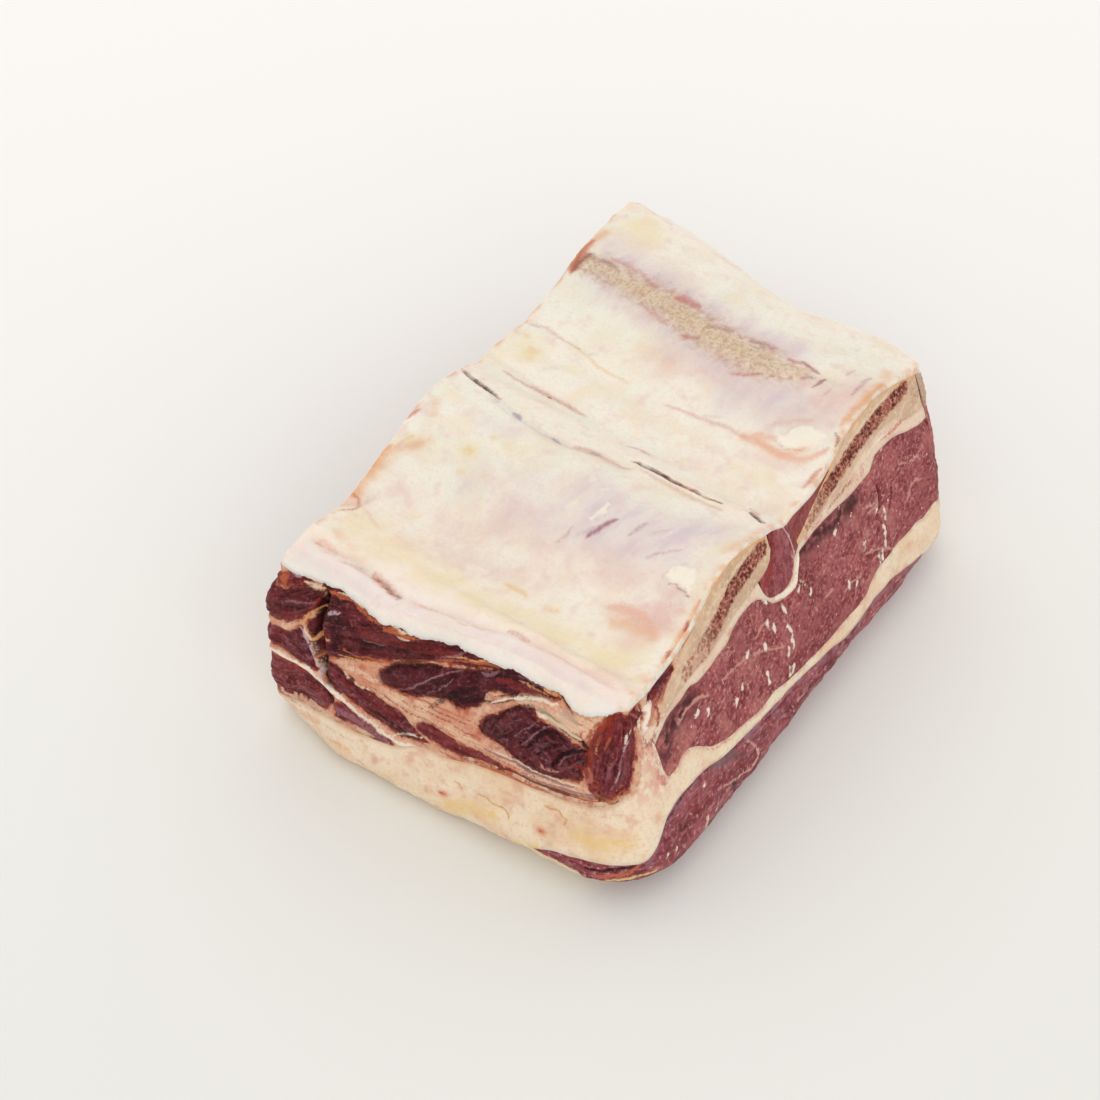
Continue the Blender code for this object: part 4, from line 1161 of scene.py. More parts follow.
def outline(u, v, points, around=0.7):
    """How deep a point lies inside a closed outline, negative outside, and -around far outside."""
    near = close_to(u, v, points, around)
    out = np.full(u.shape, -around)
    out[near] = np.maximum(inside(u[near], v[near], points), -around)
    return out


# Each lobe: its outline on the cut (x, z), a line its fibres follow, and how dark, red and lilac it is
LOBES = (
    ((
        -6.4, 5.1, -5.49, 5.2, -5.25, 5.45, -5.04, 5.5, -4.7, 5.5, -4.62, 5.25, -4.93, 5.1, -5.26, 4.95,
        -5.46, 4.86, -6.4, 4.9,
    ), (-6.4, 4.8, -4.6, 5.4), 0.25, 0.9, 0.5),
    ((
        -6.4, 4.75, -5.5, 4.81, -5.26, 4.93, -4.72, 5.24, -4.35, 5.17, -4.3, 4.84, -4.28, 4.62, -4.56, 4.44,
        -4.74, 4.2, -5.07, 3.95, -5.43, 3.78, -6.4, 3.75,
    ), (-6.4, 3.6, -5.5, 4.1, -4.3, 4.8), 0.62, 0.3, 0.1),
    ((
        -6.4, 3.2, -5.53, 3.47, -5.28, 3.47, -4.98, 3.78, -4.79, 3.93, -4.61, 3.66, -4.52, 3.38, -4.38, 2.96,
        -4.28, 2.65, -4.6, 2.63, -5, 2.65, -5.49, 2.72, -6.4, 2.66,
    ), (-6.4, 2.9, -5.4, 3, -4.3, 2.75), 0.5, 0.35, 0.6),
    ((
        -6.4, 2.3, -5.42, 2.36, -4.91, 2.41, -4.5, 2.42, -4.09, 2.37, -3.8, 2.24, -3.64, 2.12, -3.76, 1.78,
        -3.98, 1.58, -4.33, 1.44, -4.73, 1.46, -5.25, 1.08, -5.78, 0.88, -6.4, 0.8,
    ), (-6.4, 1, -5.2, 1.4, -3.7, 1.9), 0.2, 0.45, 0.3),
    ((
        -3.6, 2.06, -3.26, 2.18, -2.83, 2.12, -2.31, 1.97, -1.62, 1.82, -2.02, 1.67, -2.43, 1.65, -2.68, 1.64,
        -3.11, 1.66, -3.46, 1.58, -3.61, 1.74,
    ), (-3.6, 1.95, -2.6, 1.95, -1.6, 1.85), 0.1, 0.3, 0.6),
    ((
        -4.35, 5.45, -3.8, 5.5, -3.24, 5.5, -2.73, 5.4, -2.28, 5.4, -1.78, 5.45, -1.4, 5.5, -0.86, 5.6, -0.2,
        5.7, 0.08, 5.7, 0.64, 5.7, 0.96, 5.48, 0.43, 5.21, -0.12, 4.98, -0.71, 4.83, -1.27, 4.54, -1.96, 4.27,
        -2.49, 3.99, -3.04, 3.73, -3.51, 3.53, -3.98, 3.28, -4.19, 3.26, -4.46, 3.64, -4.63, 3.88, -4.69, 4.1,
        -4.51, 4.36, -4.25, 4.47, -4.24, 4.87, -4.31, 5.12,
    ), (-4.6, 3.5, -3.6, 3.75, -2.4, 4.2, -1.2, 4.7, 0.1, 5.2, 1, 5.5), 0.75, 0.35, 0.15),
    ((
        -2.38, 3.77, -2.09, 4.07, -1.63, 4.31, -1.18, 4.52, -0.68, 4.74, -0.1, 4.94, 0.41, 5.18, 0.9, 5.45,
        1.19, 5.7, 1.57, 5.75, 1.94, 5.75, 2.32, 5.75, 2.59, 5.75, 2.79, 5.6, 2.63, 5.48, 2.37, 5.37, 2.01,
        5.19, 1.61, 5, 1.29, 4.9, 1.03, 4.86, 0.81, 4.68, 0.72, 4.42, 0.55, 4.14, 0.28, 3.91, -0.01, 3.79,
        -0.32, 3.86, -0.89, 3.68, -1.42, 3.43, -1.84, 3.42, -2.25, 3.38, -2.39, 3.55,
    ), (-2.4, 3.2, -1.4, 3.6, -0.5, 4.15, 0.5, 4.8, 1.4, 5.2, 2.8, 5.6), 0.95, 0.1, 0.2),
    ((
        0.68, 3.63, 0.73, 3.84, 0.87, 4.09, 1.11, 4.27, 1.33, 4.51, 1.66, 4.81, 1.97, 4.98, 2.15, 4.95, 2.28,
        4.75, 2.61, 4.76, 2.87, 4.71, 3.22, 4.65, 3.31, 4.54, 3.5, 4.56, 3.69, 4.43, 3.78, 4.22, 3.74, 4.02,
        3.71, 3.78, 3.75, 3.57, 3.45, 3.43, 3.06, 3.3, 2.72, 3.2, 2.48, 3.15, 2.03, 3.13, 1.57, 3.28, 1.15,
        3.42, 0.75, 3.44,
    ), (0.3, 3.2, 0.7, 4.2, 1.5, 4.95, 2.2, 5, 3.2, 4.7, 4, 4.2), 0.8, 0.15, 0.3),
    ((
        -4.08, 2.95, -3.97, 3.2, -3.73, 3.24, -3.37, 3.14, -3.12, 3.07, -3.02, 2.95, -2.7, 3.04, -2.35, 2.94,
        -1.93, 2.86, -1.59, 2.79, -1.31, 2.61, -0.96, 2.46, -0.69, 2.32, -1.25, 2.18, -1.75, 2.15, -2.25,
        2.22, -2.77, 2.32, -3.28, 2.42, -3.64, 2.43, -3.92, 2.52, -4.07, 2.65,
    ), (-4.1, 2.8, -3, 2.65, -1.8, 2.45, -0.6, 2.3), 0.55, 0.3, 0.35),
    ((
        -1.24, 2.64, -0.94, 2.86, -0.57, 2.93, -0.12, 2.88, 0.31, 2.86, 0.74, 2.91, 1.15, 2.91, 1.64, 2.86,
        2.16, 2.88, 2.67, 2.94, 3.19, 2.99, 3.61, 3.02, 4, 3.07, 4.36, 3.24, 4.23, 3.11, 3.78, 3, 3.21, 2.87,
        2.7, 2.82, 2.17, 2.79, 1.65, 2.76, 1.17, 2.7, 0.78, 2.66, 0.31, 2.53, 0, 2.5, -0.27, 2.49, -0.72,
        2.47, -1.06, 2.53,
    ), (-1.3, 2.55, 0.3, 2.7, 2, 2.82, 4.3, 3.15), 0.35, 0.4, 0.3),
)
# The lobe that runs round the right front corner, on x + y and z
CORNER_LOBE = (
    -3.71, 5.15, -3.45, 5.42, -3.22, 5.64, -2.92, 5.67, -2.73, 5.51, -2.5, 5.5, -2.3, 5.52, -2.1, 5.42, -2.03,
    5.21, -2.14, 5.1, -2.34, 5.04, -2.36, 4.85, -2.42, 4.63, -2.53, 4.39, -2.63, 4.22, -2.73, 3.92, -2.88,
    3.67, -3.25, 3.45, -3.54, 3.3, -3.87, 3.22, -4.15, 3.4, -4.2, 3.9, -4.1, 4.5, -3.89, 4.87,
)

front = Skin(
    (FRONT, FRONT_MUSCLE_END), front_muscle_floor, sheet_floor, 0.045, front=0.034, back=0.6, thick=0.036,
)
s, (x, y, z) = front.s, front.flat.T
on_cut = front.front | (front.s < FRONT + 1e-6)
around = x + y
# The unseen left end repeats the cut's left edge, carried round the corner with some waves
u = np.where(front.left, -5.9 + 0.15 * noise(front.points, 0.9, 80), x)
v = z + np.where(front.left, 0.12 * noise(front.points, 1.1, 81) - 0.1 * (s - FRONT), 0)
depth, grain = np.full(len(x), -0.7), np.stack([x, z], 1)
tones = np.zeros((len(x), 3))
for number, (edge, fibre, *tone) in enumerate(LOBES):
    d = outline(u, v, edge)
    gap, where, turn = off_line(u, v, fibre)
    length = np.hypot(*np.diff(curve_through(fibre), axis=0).T).sum()
    nearer = (d > depth)[:, None]
    depth = np.maximum(depth, d)
    grain = np.where(nearer, np.stack([where * length + 5 * number, gap * turn], 1), grain)
    tones = np.where(nearer, tone, tones)
visible = on_cut | front.left
d = np.where(on_cut | front.right, outline(around, z, CORNER_LOBE), -0.7)
nearer = (d > depth)[:, None]
depth = np.maximum(np.where(visible, depth, -0.7), d)
grain = np.where(nearer, np.stack([z + 0.2 * around, around - 0.25 * z], 1), grain)
tones = np.where(nearer, (0.3, 0.5, 0.2), tones)
SLIVER = (
    -5.36, 5.68, -5, 5.6, -4.95, 5.33, -5.27, 5.09, -5.69, 5, -6.11, 5.08, -6.32, 5.32, -6.02, 5.48, -5.66,
    5.54,
)
sliver = np.where(front.right, outline(s, z, SLIVER), -0.7)
nearer = (sliver > depth)[:, None]
depth = np.maximum(depth, sliver)
tones = np.where(nearer, (0.25, 0.5, 0.1), tones)
# The cleft is cut into the relief below, and also painted dark as shade in the material
cleft = line(x, z, (
    -4.21, 5.15, -4.24, 4.88, -4.3, 4.55, -4.3, 4.19, -4.24, 3.9, -4.12, 3.55, -4.09, 3.11, -4.13, 2.75,
), 0.045)
cleft = np.where(on_cut, cleft, -0.5)
fields = {
    "lobe": depth,
    "dark": tones[:, 0],
    "red": tones[:, 1],
    "lilac": tones[:, 2],
    "grain": np.concatenate([grain, 0 * grain[:, :1]], axis=1),
    "cleft": cleft,
}
CUT_MARKS = (
    ("red", 0.9, 0.09, -4.42, 4.92, -4.44, 4.6), ("red", 0.8, 0.07, -4.38, 4.45, -4.38, 4),
    # Painted shade: the black marks down the cleft, on this line and the next two
    ("black", 0.85, 0.13, -4.28, 4.98, -4.33, 4.5, -4.31, 4.05, -4.4, 3.57, -4.3, 3.22, -4.08, 2.91,
     -3.77, 2.37), ("black", 0.75, 0.08, -4.1, 3.6, -4.09, 3.11, -4.13, 2.75),
    ("black", 0.85, 0.06, -3.92, 2.2, -3.74, 2.06, -3.65, 1.88),
    ("rust", 0.9, 0.11, -5.41, 4.84, -5.47, 5.05, -5.38, 5.28),
    # Painted highlight: the lilac mark at the end of this line, on the nub at the top left
    ("red", 0.6, 0.1, -5.09, 5.3, -4.9, 5.25, -4.74, 5.18), ("lilac", 0.8, 0.07, -5.22, 5.38, -4.98, 5.37),
    ("cream", 0.9, 0.08, -4.85, 5.3, -4.54, 5.24, -4.28, 5.27),
    ("black", 0.5, 0.14, -5.4, 4.7, -4.93, 4.94, -4.42, 5.04),
    ("red", 0.6, 0.13, -5.58, 4.09, -5.18, 4.12, -4.84, 4.19),
    ("black", 0.65, 0.06, -5.5, 4.3, -5, 4.45, -4.7, 4.6),
    ("mauve", 0.7, 0.05, -5.37, 4.51, -4.89, 4.69, -4.47, 4.81),
    ("red", 0.5, 0.18, -5.8, 3, -5.6, 3.3, -5.3, 3.4), ("black", 0.4, 0.12, -4.9, 3.7, -4.7, 3.3, -4.4, 2.9),
    ("lilac", 0.9, 0.055, -4.86, 3.92, -4.7, 3.72, -4.59, 3.42, -4.45, 3.08, -4.24, 2.78, -4.04, 2.42),
    ("black", 0.7, 0.1, -0.77, 3.46, -0.38, 3.92, 0.05, 4.39, 0.48, 4.68),
    ("orange", 0.95, 0.05, -4.75, 4, -4.68, 4.33, -4.46, 4.54, -4.24, 4.64),
    ("cream", 0.9, 0.045, -4.75, 3.97, -4.62, 3.71, -4.43, 3.62),
    ("orange", 0.95, 0.065, -4.47, 3.68, -4.2, 3.82, -3.93, 3.9),
    ("rust", 0.9, 0.055, -4.38, 3.1, -4.1, 3.24, -3.91, 3.3, -3.62, 3.44),
    ("red", 0.4, 0.16, -5.5, 1.9, -5.1, 2, -4.7, 2.2),
    ("mauve", 0.55, 0.13, -4.7, 1.85, -4.25, 1.75, -3.95, 1.75),
    ("blood", 0.7, 0.06, -5.4, 1.25, -4.9, 1.5, -4.3, 1.5),
    ("white", 0.95, 0.09, -5.87, 2.52, -5.48, 2.54, -5.07, 2.52, -4.63, 2.55, -4.18, 2.44, -3.77, 2.35,
     -3.33, 2.29, -2.9, 2.18, -2.44, 2.06, -2.03, 1.97, -1.64, 1.93, -1.19, 2, -0.7, 2.1),
    ("mauve", 0.75, 0.14, -3.5, 1.92, -3.07, 1.95, -2.68, 1.83, -2.26, 1.78, -1.85, 1.76),
    ("flesh", 0.6, 0.05, -3.3, 1.7, -2.9, 1.66, -2.4, 1.7),
    ("white", 0.85, 0.04, -1.9, 1.95, -1.4, 2.25, -0.9, 2.4),
    ("cream", 0.8, 0.05, -3.43, 3.18, -3.2, 3.05, -2.93, 3, -2.5, 3),
    ("blood", 0.9, 0.07, -3.2, 3.02, -3.05, 3.05), ("red", 0.5, 0.1, -3.9, 3.1, -3.5, 2.95, -3, 2.75),
    ("black", 0.5, 0.1, -2.6, 2.5, -2, 2.4, -1.3, 2.25),
    ("red", 0.6, 0.05, -2.9, 2.85, -2.2, 2.75, -1.6, 2.55),
    ("black", 0.65, 0.24, -3.95, 4.95, -3.82, 4.58, -3.76, 4.15, -3.66, 3.85),
    # Painted highlight: the lilac mark at the start of this line
    ("lilac", 0.8, 0.045, -4.04, 4.7, -3.88, 4.82, -3.7, 4.86), ("mauve", 0.5, 0.05, -3.5, 4.5, -3.2, 4.75),
    ("red", 0.5, 0.13, -3.37, 4.79, -2.66, 4.72, -1.9, 4.82, -1.01, 4.98, -0.3, 5.18),
    ("red", 0.45, 0.07, -3.6, 5.05, -3, 4.98, -2.4, 4.85),
    ("black", 0.65, 0.1, -3.34, 4.2, -2.61, 4.42, -1.88, 4.63, -1, 4.87),
    ("mauve", 0.7, 0.03, -2.9, 4.42, -2.5, 4.5, -2.2, 4.62),
    ("blood", 0.6, 0.07, -3.2, 4, -2.6, 4.15, -1.9, 4.4),
    ("red", 0.6, 0.06, -1.3, 5.1, -0.7, 5.2, -0.1, 5.35),
    ("rust", 0.9, 0.08, -4.16, 5.27, -3.82, 5.29, -3.49, 5.33, -3.15, 5.24, -2.81, 5.12, -2.56, 5.04),
    ("cream", 0.9, 0.03, -3.9, 5.34, -3.5, 5.37, -3.1, 5.3),
    ("rust", 0.9, 0.085, -2.45, 5.02, -2.15, 5.12, -1.81, 5.14, -1.38, 5.22),
    ("cream", 0.9, 0.03, -2.25, 5.2, -1.85, 5.2, -1.5, 5.26), ("cream", 0.8, 0.025, -2, 5.05, -1.6, 5.08),
    ("rust", 0.9, 0.055, -0.69, 4.88, -0.15, 5.14, 0.4, 5.36, 1, 5.5),
    ("orange", 0.85, 0.03, -0.5, 5.14, 0.1, 5.35, 0.7, 5.5),
    ("rust", 0.85, 0.045, -3.46, 3.87, -3.15, 3.84, -2.76, 3.93, -2.4, 4.02, -1.81, 4.26, -0.97, 4.69),
    ("orange", 0.85, 0.045, -3.6, 3.62, -3.2, 3.66, -2.8, 3.75, -2.43, 3.88),
    # Painted glints: the mauve lines along the fibres, on this line and the next two
    ("mauve", 0.85, 0.03, -1.79, 3.47, -1.37, 3.76, -0.94, 4.21, -0.49, 4.59, -0.04, 4.9),
    ("mauve", 0.7, 0.04, -0.71, 4.94, -0.32, 5.21, 0.03, 5.46),
    ("mauve", 0.7, 0.03, -1.11, 3.62, -0.56, 4.13, -0.2, 4.59),
    ("black", 0.7, 0.12, -2.13, 3.85, -1.8, 4.24, -1.23, 4.44, -0.65, 4.62),
    ("grey", 0.6, 0.08, -2.4, 3.72, -2.38, 3.5, -2.16, 3.5),
    ("black", 0.7, 0.2, -0.27, 3.98, 0.18, 4.2, 0.6, 4.42), ("blood", 0.5, 0.1, 0.1, 4.8, 0.5, 5),
    ("blood", 0.5, 0.08, -1.9, 3.6, -1.3, 3.7, -0.8, 3.9),
    ("mauve", 0.8, 0.05, 0.5, 5.1, 0.75, 5.2, 0.95, 5.35),
    ("red", 0.7, 0.14, 1.02, 5.2, 1.74, 5.25, 2.3, 5.4),
    ("mauve", 0.7, 0.05, 1.48, 5.56, 1.89, 5.57, 2.2, 5.58),
    ("orange", 0.8, 0.03, 1.5, 5.42, 1.95, 5.48, 2.36, 5.45),
    ("orange", 0.95, 0.07, 2.17, 5.56, 2.42, 5.58, 2.64, 5.56, 2.79, 5.46),
    ("ember", 0.85, 0.05, 2.2, 5.28, 2.5, 5.4, 2.7, 5.5),
    ("black", 0.85, 0.04, 0.61, 4.31, 1.15, 4.63, 1.89, 5.11),
    ("brown", 0.8, 0.025, 0.9, 4.45, 1.5, 4.88, 2.1, 5.15), ("black", 0.7, 0.025, 1, 4.7, 1.5, 5),
    ("blood", 0.9, 0.045, 2.64, 5.6, 2.91, 5.46, 3.08, 5.33, 3.14, 5.2),
    ("mauve", 0.9, 0.1, 2.84, 5.2, 3.06, 5.18, 3.29, 5.1),
    ("red", 0.95, 0.045, 2.89, 5.28, 3.2, 5.14, 3.43, 5.1), ("rust", 0.6, 0.04, 2.6, 5.05, 3.1, 5, 3.6, 4.95),
    ("rust", 0.6, 0.05, 3.1, 5.5, 3.3, 5.35, 3.6, 5.3),
    ("ember", 0.75, 0.12, 3.81, 5.32, 3.74, 5.05, 3.71, 4.66, 3.83, 4.29, 3.89, 3.87, 4, 3.5),
    ("rust", 0.9, 0.06, 3.45, 4.95, 3.52, 4.68, 3.72, 4.4),
    ("flesh", 0.85, 0.09, 3.85, 4, 3.93, 3.79, 3.82, 3.55), ("orange", 0.7, 0.05, 3.95, 5, 3.95, 4.5),
    # Painted glints: the mauve and grey lines along the fibres, on this line and the next six
    ("mauve", 0.8, 0.028, 1.75, 3.93, 2.04, 4.36, 2.32, 4.69),
    ("mauve", 0.8, 0.028, 2, 3.82, 2.33, 4.37, 2.62, 4.7, 2.9, 4.7),
    ("mauve", 0.85, 0.03, 3.08, 3.76, 3.24, 4.11, 3.5, 4.44, 3.73, 4.61),
    ("grey", 0.7, 0.025, 1.3, 3.75, 1.58, 4.24, 2.02, 4.71), ("grey", 0.5, 0.022, 1, 3.6, 1.25, 4, 1.6, 4.45),
    ("grey", 0.6, 0.022, 2.3, 3.75, 2.62, 4.25, 2.95, 4.42),
    ("grey", 0.6, 0.022, 2.6, 3.7, 2.85, 4.1, 3.15, 4.35),
    ("grey", 0.7, 0.04, 3.16, 3.59, 3.39, 3.91, 3.69, 4.17),
    ("wine", 0.4, 0.05, 1.99, 3.19, 2.36, 3.64, 2.73, 3.76, 2.91, 3.55),
    ("red", 0.4, 0.1, 1.08, 3.35, 1.81, 3.38, 2.55, 3.45, 3.38, 3.66),
    # Painted shade: the black lines in the creases between those fibres, on this line and the next five
    ("black", 0.95, 0.09, 2.24, 5.07, 2.61, 4.96, 3, 4.82, 3.38, 4.73, 3.7, 4.51),
    ("black", 0.7, 0.06, 1.05, 3.82, 1.3, 4.33, 1.67, 4.73, 2.13, 5.04),
    ("black", 0.9, 0.07, 2.88, 3.6, 3.08, 4.04, 3.36, 4.32, 3.71, 4.44),
    ("black", 0.8, 0.06, 2.13, 3.8, 2.4, 4.29, 2.69, 4.57, 3.1, 4.5),
    ("black", 0.7, 0.04, 1.9, 3.8, 2.15, 4.25, 2.45, 4.55),
    ("black", 0.7, 0.04, 2.45, 3.75, 2.75, 4.18, 3.05, 4.4),
    ("red", 0.8, 0.08, 3.45, 3.97, 3.73, 3.9, 3.8, 3.68), ("pink", 0.6, 0.04, 2.55, 3.6, 2.8, 3.5, 3.1, 3.6),
    ("rust", 0.9, 0.04, -0.31, 2.33, 0.3, 2.42, 0.88, 2.57, 1.47, 2.65, 2.07, 2.71, 2.66, 2.78, 3.23, 2.9,
     3.77, 3.02, 4.29, 3.19, 4.62, 3.36),
    ("brown", 0.85, 0.045, 0.3, 2.52, 0.88, 2.66, 1.47, 2.74, 2.07, 2.81, 2.66, 2.87, 3.23, 2.99, 3.77, 3.11,
     4.29, 3.26),
    ("mauve", 0.85, 0.055, 0.9, 3.1, 1.3, 3.14, 1.84, 3.14, 2.29, 3.13, 2.73, 3.17, 3.16, 3.23, 3.58, 3.32),
    ("mauve", 0.85, 0.06, 2.03, 2.95, 2.62, 2.98, 3.2, 3.1, 3.74, 3.2, 4.2, 3.3),
    ("cream", 0.9, 0.03, 1.09, 3.22, 1.7, 3.2, 2.46, 3.2, 3.18, 3.3, 3.72, 3.42),
    ("red", 0.6, 0.03, 0.6, 2.98, 1.1, 3.02, 1.7, 3, 2.5, 3.05),
    ("red", 0.5, 0.06, -1.2, 2.72, -0.6, 2.66, 0, 2.66),
    ("ember", 0.75, 0.035, -2.8, 3.2, -2.09, 3.08, -1.32, 2.98, -0.54, 3, 0.08, 3),
    ("rust", 0.8, 0.035, -2.6, 3.3, -1.83, 3.38, -0.93, 3.54, -0.03, 3.62, 0.5, 3.68),
    ("ember", 0.7, 0.035, -1.6, 3.2, -0.75, 3.28, 0, 3.3, 0.77, 3.3),
    ("red", 0.7, 0.03, -0.9, 3.42, -0.3, 3.45, 0.4, 3.52),
    ("cream", 0.7, 0.03, -2.2, 3.2, -1.4, 3.12, -0.7, 3.12),
    ("cream", 0.7, 0.03, -0.6, 3.15, 0.1, 3.15, 0.8, 3.18),
    ("cream", 0.6, 0.1, -3.38, 3.36, -2.93, 3.42, -2.4, 3.4),
    ("red", 0.7, 0.035, -1, 2.9, -0.3, 2.85, 0.4, 2.9), ("rust", 0.5, 0.07, 0.2, 3.75, 0.5, 3.9, 0.6, 4.1),
    ("cream", 0.5, 0.2, 1.6, 4.95, 2.2, 5.15, 2.9, 5.15, 3.4, 4.98),
    ("white", 0.75, 0.045, 0.95, 4.5, 1.41, 4.86, 2.07, 5.22, 2.7, 5.38),
    ("cream", 0.8, 0.05, 2.41, 4.95, 3, 4.86, 3.5, 4.72), ("white", 0.8, 0.06, 2.2, 4.9, 2.5, 4.88),
)
cut_marks = brush(front, x, z, CUT_MARKS, on_cut)
TURNED_MARKS = (
    ("rust", 0.7, 0.07, -4, 3.35, -3.7, 3.32, -3.3, 3.42, -3, 3.65),
    ("brown", 0.85, 0.03, -4, 3.26, -3.54, 3.24, -3.2, 3.36),
    ("ember", 0.9, 0.11, -3.71, 5.1, -3.45, 5.38, -3.22, 5.58, -2.95, 5.62),
    ("red", 0.8, 0.1, -3.85, 4.75, -3.55, 5, -3.3, 5.25, -3.1, 5.45),
    ("blood", 0.8, 0.05, -3.7, 4.6, -3.4, 4.85, -3.15, 5.15),
    ("blood", 0.7, 0.06, -3, 5.5, -2.8, 5.35, -2.6, 5.3),
    ("black", 0.6, 0.05, -3.62, 4.1, -3.45, 4.5, -3.2, 4.95),
    ("black", 0.6, 0.035, -3.4, 3.95, -3.25, 4.35, -3, 4.75),
    ("black", 0.5, 0.05, -3, 3.7, -2.8, 4.1, -2.68, 4.45),
    ("grey", 0.7, 0.025, -3.3, 3.6, -3.1, 4, -2.95, 4.4), ("rust", 0.6, 0.05, -3.55, 4.7, -3.3, 5.1),
    ("red", 0.7, 0.07, -3.15, 5.1, -2.9, 5.3, -2.75, 5.2), ("flesh", 0.8, 0.025, -3, 5, -2.9, 5.12),
    ("mauve", 0.8, 0.05, -3.45, 3.7, -3.2, 4.1, -3.05, 4.5, -2.75, 4.9, -2.55, 5),
    ("grey", 0.7, 0.05, -3.2, 3.75, -2.95, 4.2, -2.75, 4.6),
    ("mauve", 0.6, 0.05, -3.6, 3.9, -3.4, 4.3, -3.2, 4.6), ("lilac", 0.6, 0.03, -3.3, 3.9, -3.12, 4.25),
    # Painted glints: the white marks at the end of this line and on the next
    ("lilac", 0.7, 0.035, -2.95, 4.7, -2.7, 4.95), ("white", 0.85, 0.05, -2.74, 5.1, -2.86, 4.88),
    ("white", 0.7, 0.04, -2.6, 5.2, -2.66, 5.1),
    ("flesh", 0.75, 0.05, -2.37, 4.85, -2.42, 4.63, -2.53, 4.39, -2.63, 4.22, -2.8, 3.85),
    ("red", 0.85, 0.06, -2.42, 4.5, -2.5, 4.3), ("flesh", 0.4, 0.08, -3.75, 3.5, -3.4, 3.55, -3.1, 3.8),
    ("ember", 0.7, 0.08, -3.9, 3.8, -3.85, 3.5), ("blood", 0.6, 0.1, -2.44, 5.2, -2.33, 5.37, -2.1, 5.4),
    ("flesh", 0.8, 0.03, -2.5, 5.45, -2.3, 5.25), ("cream", 0.7, 0.03, -2.2, 5.48, -2.15, 5.3),
    ("white", 0.95, 0.11, -1.7, 5.22, -1.9, 5.05, -2.05, 4.93), ("blood", 0.6, 0.06, -2.1, 4.85, -1.85, 4.75),
)
turned_marks = brush(front, around, z, TURNED_MARKS, on_cut | front.right)
SIDE_MARKS = (
    # Painted shadow: the black line under the sheet's flap edge
    ("black", 0.8, 0.06, -5.3, 5.68, -5.66, 5.52, -6.02, 5.45, -6.25, 5.36),
    ("grey", 0.5, 0.1, -5.5, 5.35, -5.9, 5.25), ("flesh", 0.6, 0.07, -5.2, 5.25, -5.6, 5.12, -6, 5.15),
    ("rust", 0.8, 0.06, -5.12, 5.72, -5, 5.6, -4.94, 5.44),
    ("cream", 0.7, 0.03, -5, 5.3, -5.4, 5.08, -5.8, 5),
)
side_marks = brush(front, s, z, SIDE_MARKS + COLUMN_MARKS, front.right)
shade = cut_marks[0] * (1 - turned_marks[1])[:, None] + turned_marks[0]
fields["marks"] = shade * (1 - side_marks[1])[:, None] + side_marks[0]
fields["cover"] = 1 - (1 - cut_marks[1]) * (1 - turned_marks[1]) * (1 - side_marks[1])
bulge = 0.09 * smooth(depth, 0.0, 0.3) - 0.05 * smooth(depth, -0.15, 0.02)
strands = noise(np.stack([grain[:, 0] * 1.2, grain[:, 1] * 6.0, 0.3 * z], 1), 1.0, 82, 3)
wave = noise(np.stack([grain[:, 0] * 0.5, grain[:, 1] * 2.5, 0.3 * z], 1), 1.0, 84, 2)
fibres = (0.05 * strands + 0.075 * wave) * smooth(depth, 0, 0.12)
relief = bulge + fibres + 0.02 * noise(front.points, 0.35, 83)
opening = 0.26 * smooth(cleft, -0.14, 0.04)
relief += cut_marks[2] + 0.7 * turned_marks[2] + 0.5 * side_marks[2] - opening - 0.02
relief = relief * np.where(visible | front.right, 1, 0) * smooth(front.rim, 0, 0.1)
relief = relief - 0.025 * smooth(front.above, 0, 0.05) * smooth(-front.above, -0.5, 0) * on_cut
# Painted shade: the gap field is high where the fibre relief above is lowest
fields["gap"] = smooth(-strands - 0.6 * wave, 0.35, 1.1)
front_meat = front.mesh("opened_meat", fields, relief)
tree, shader, here = material_for(front_meat, (0.34, 0.58), soft=0.08)
shader.inputs["Specular IOR Level"].default_value = 0.12
flow = vector(tree, "grain")
bright = use(
    tree, MUSCLE, Flow=flow, Place=here, Gap=(56, 12, 16), Deep=(92, 26, 32), Flesh=(136, 56, 60),
    Light=(188, 124, 126), Along=1.6, Across=12.0, Specks=0.6, Grainy=0.3,
)
black = use(
    tree, MUSCLE, Flow=flow, Place=here, Gap=(20, 5, 7), Deep=(46, 10, 14), Flesh=(82, 24, 30),
    Light=(126, 76, 84), Along=1.6, Across=12.0, Specks=0.5, Grainy=0.25,
)
fascia = use(tree, FAT, Place=here, Cream=(224, 184, 154), Warm=(210, 148, 120), Pink=(184, 98, 78))
meat = mix(tree, field(tree, "dark"), bright["Colour"], black["Colour"])
patches = patchy(tree, here, 2.6, 0.42, 0.62)
fine = patchy(tree, here, 9.0, 0.45, 0.62)
meat = stained(tree, meat, [
    # painted shade in the fibre grooves
    (shown(tree, "gap", 0.7), (36, 8, 10)),
    (shown(tree, "red", ramp(tree, patches, 0.0, 1.0, 0.05, 0.6)), (138, 46, 38)),
    (shown(tree, "lilac", times(tree, patches, fine)), (150, 108, 122)),
])
cover = ragged(tree, here, "lobe", 6.0, 0.08, 0.03)
edge = ramp(tree, math(tree, "ABSOLUTE", field(tree, "lobe")), 0.0, 0.09, 1.0, 0.0)
colour = mix(tree, cover, fascia["Colour"], meat)
colour = stained(tree, colour, [
    (times(tree, edge, ramp(tree, fine, 0.0, 1.0, 0.2, 0.75)), (176, 86, 56)),
    # painted shade in the cleft
    (ragged(tree, here, "cleft", 7.0, 0.04, 0.04), (40, 12, 11)),
])
colour = marked(tree, colour, here)
height = node(tree, "ShaderNodeMix", {0: cover, 2: fascia["Height"], 3: bright["Height"]}).outputs[0]
finish_material(tree, shader, colour, height, 0.0009)
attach(front_meat, "root")
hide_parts("front_muscle")
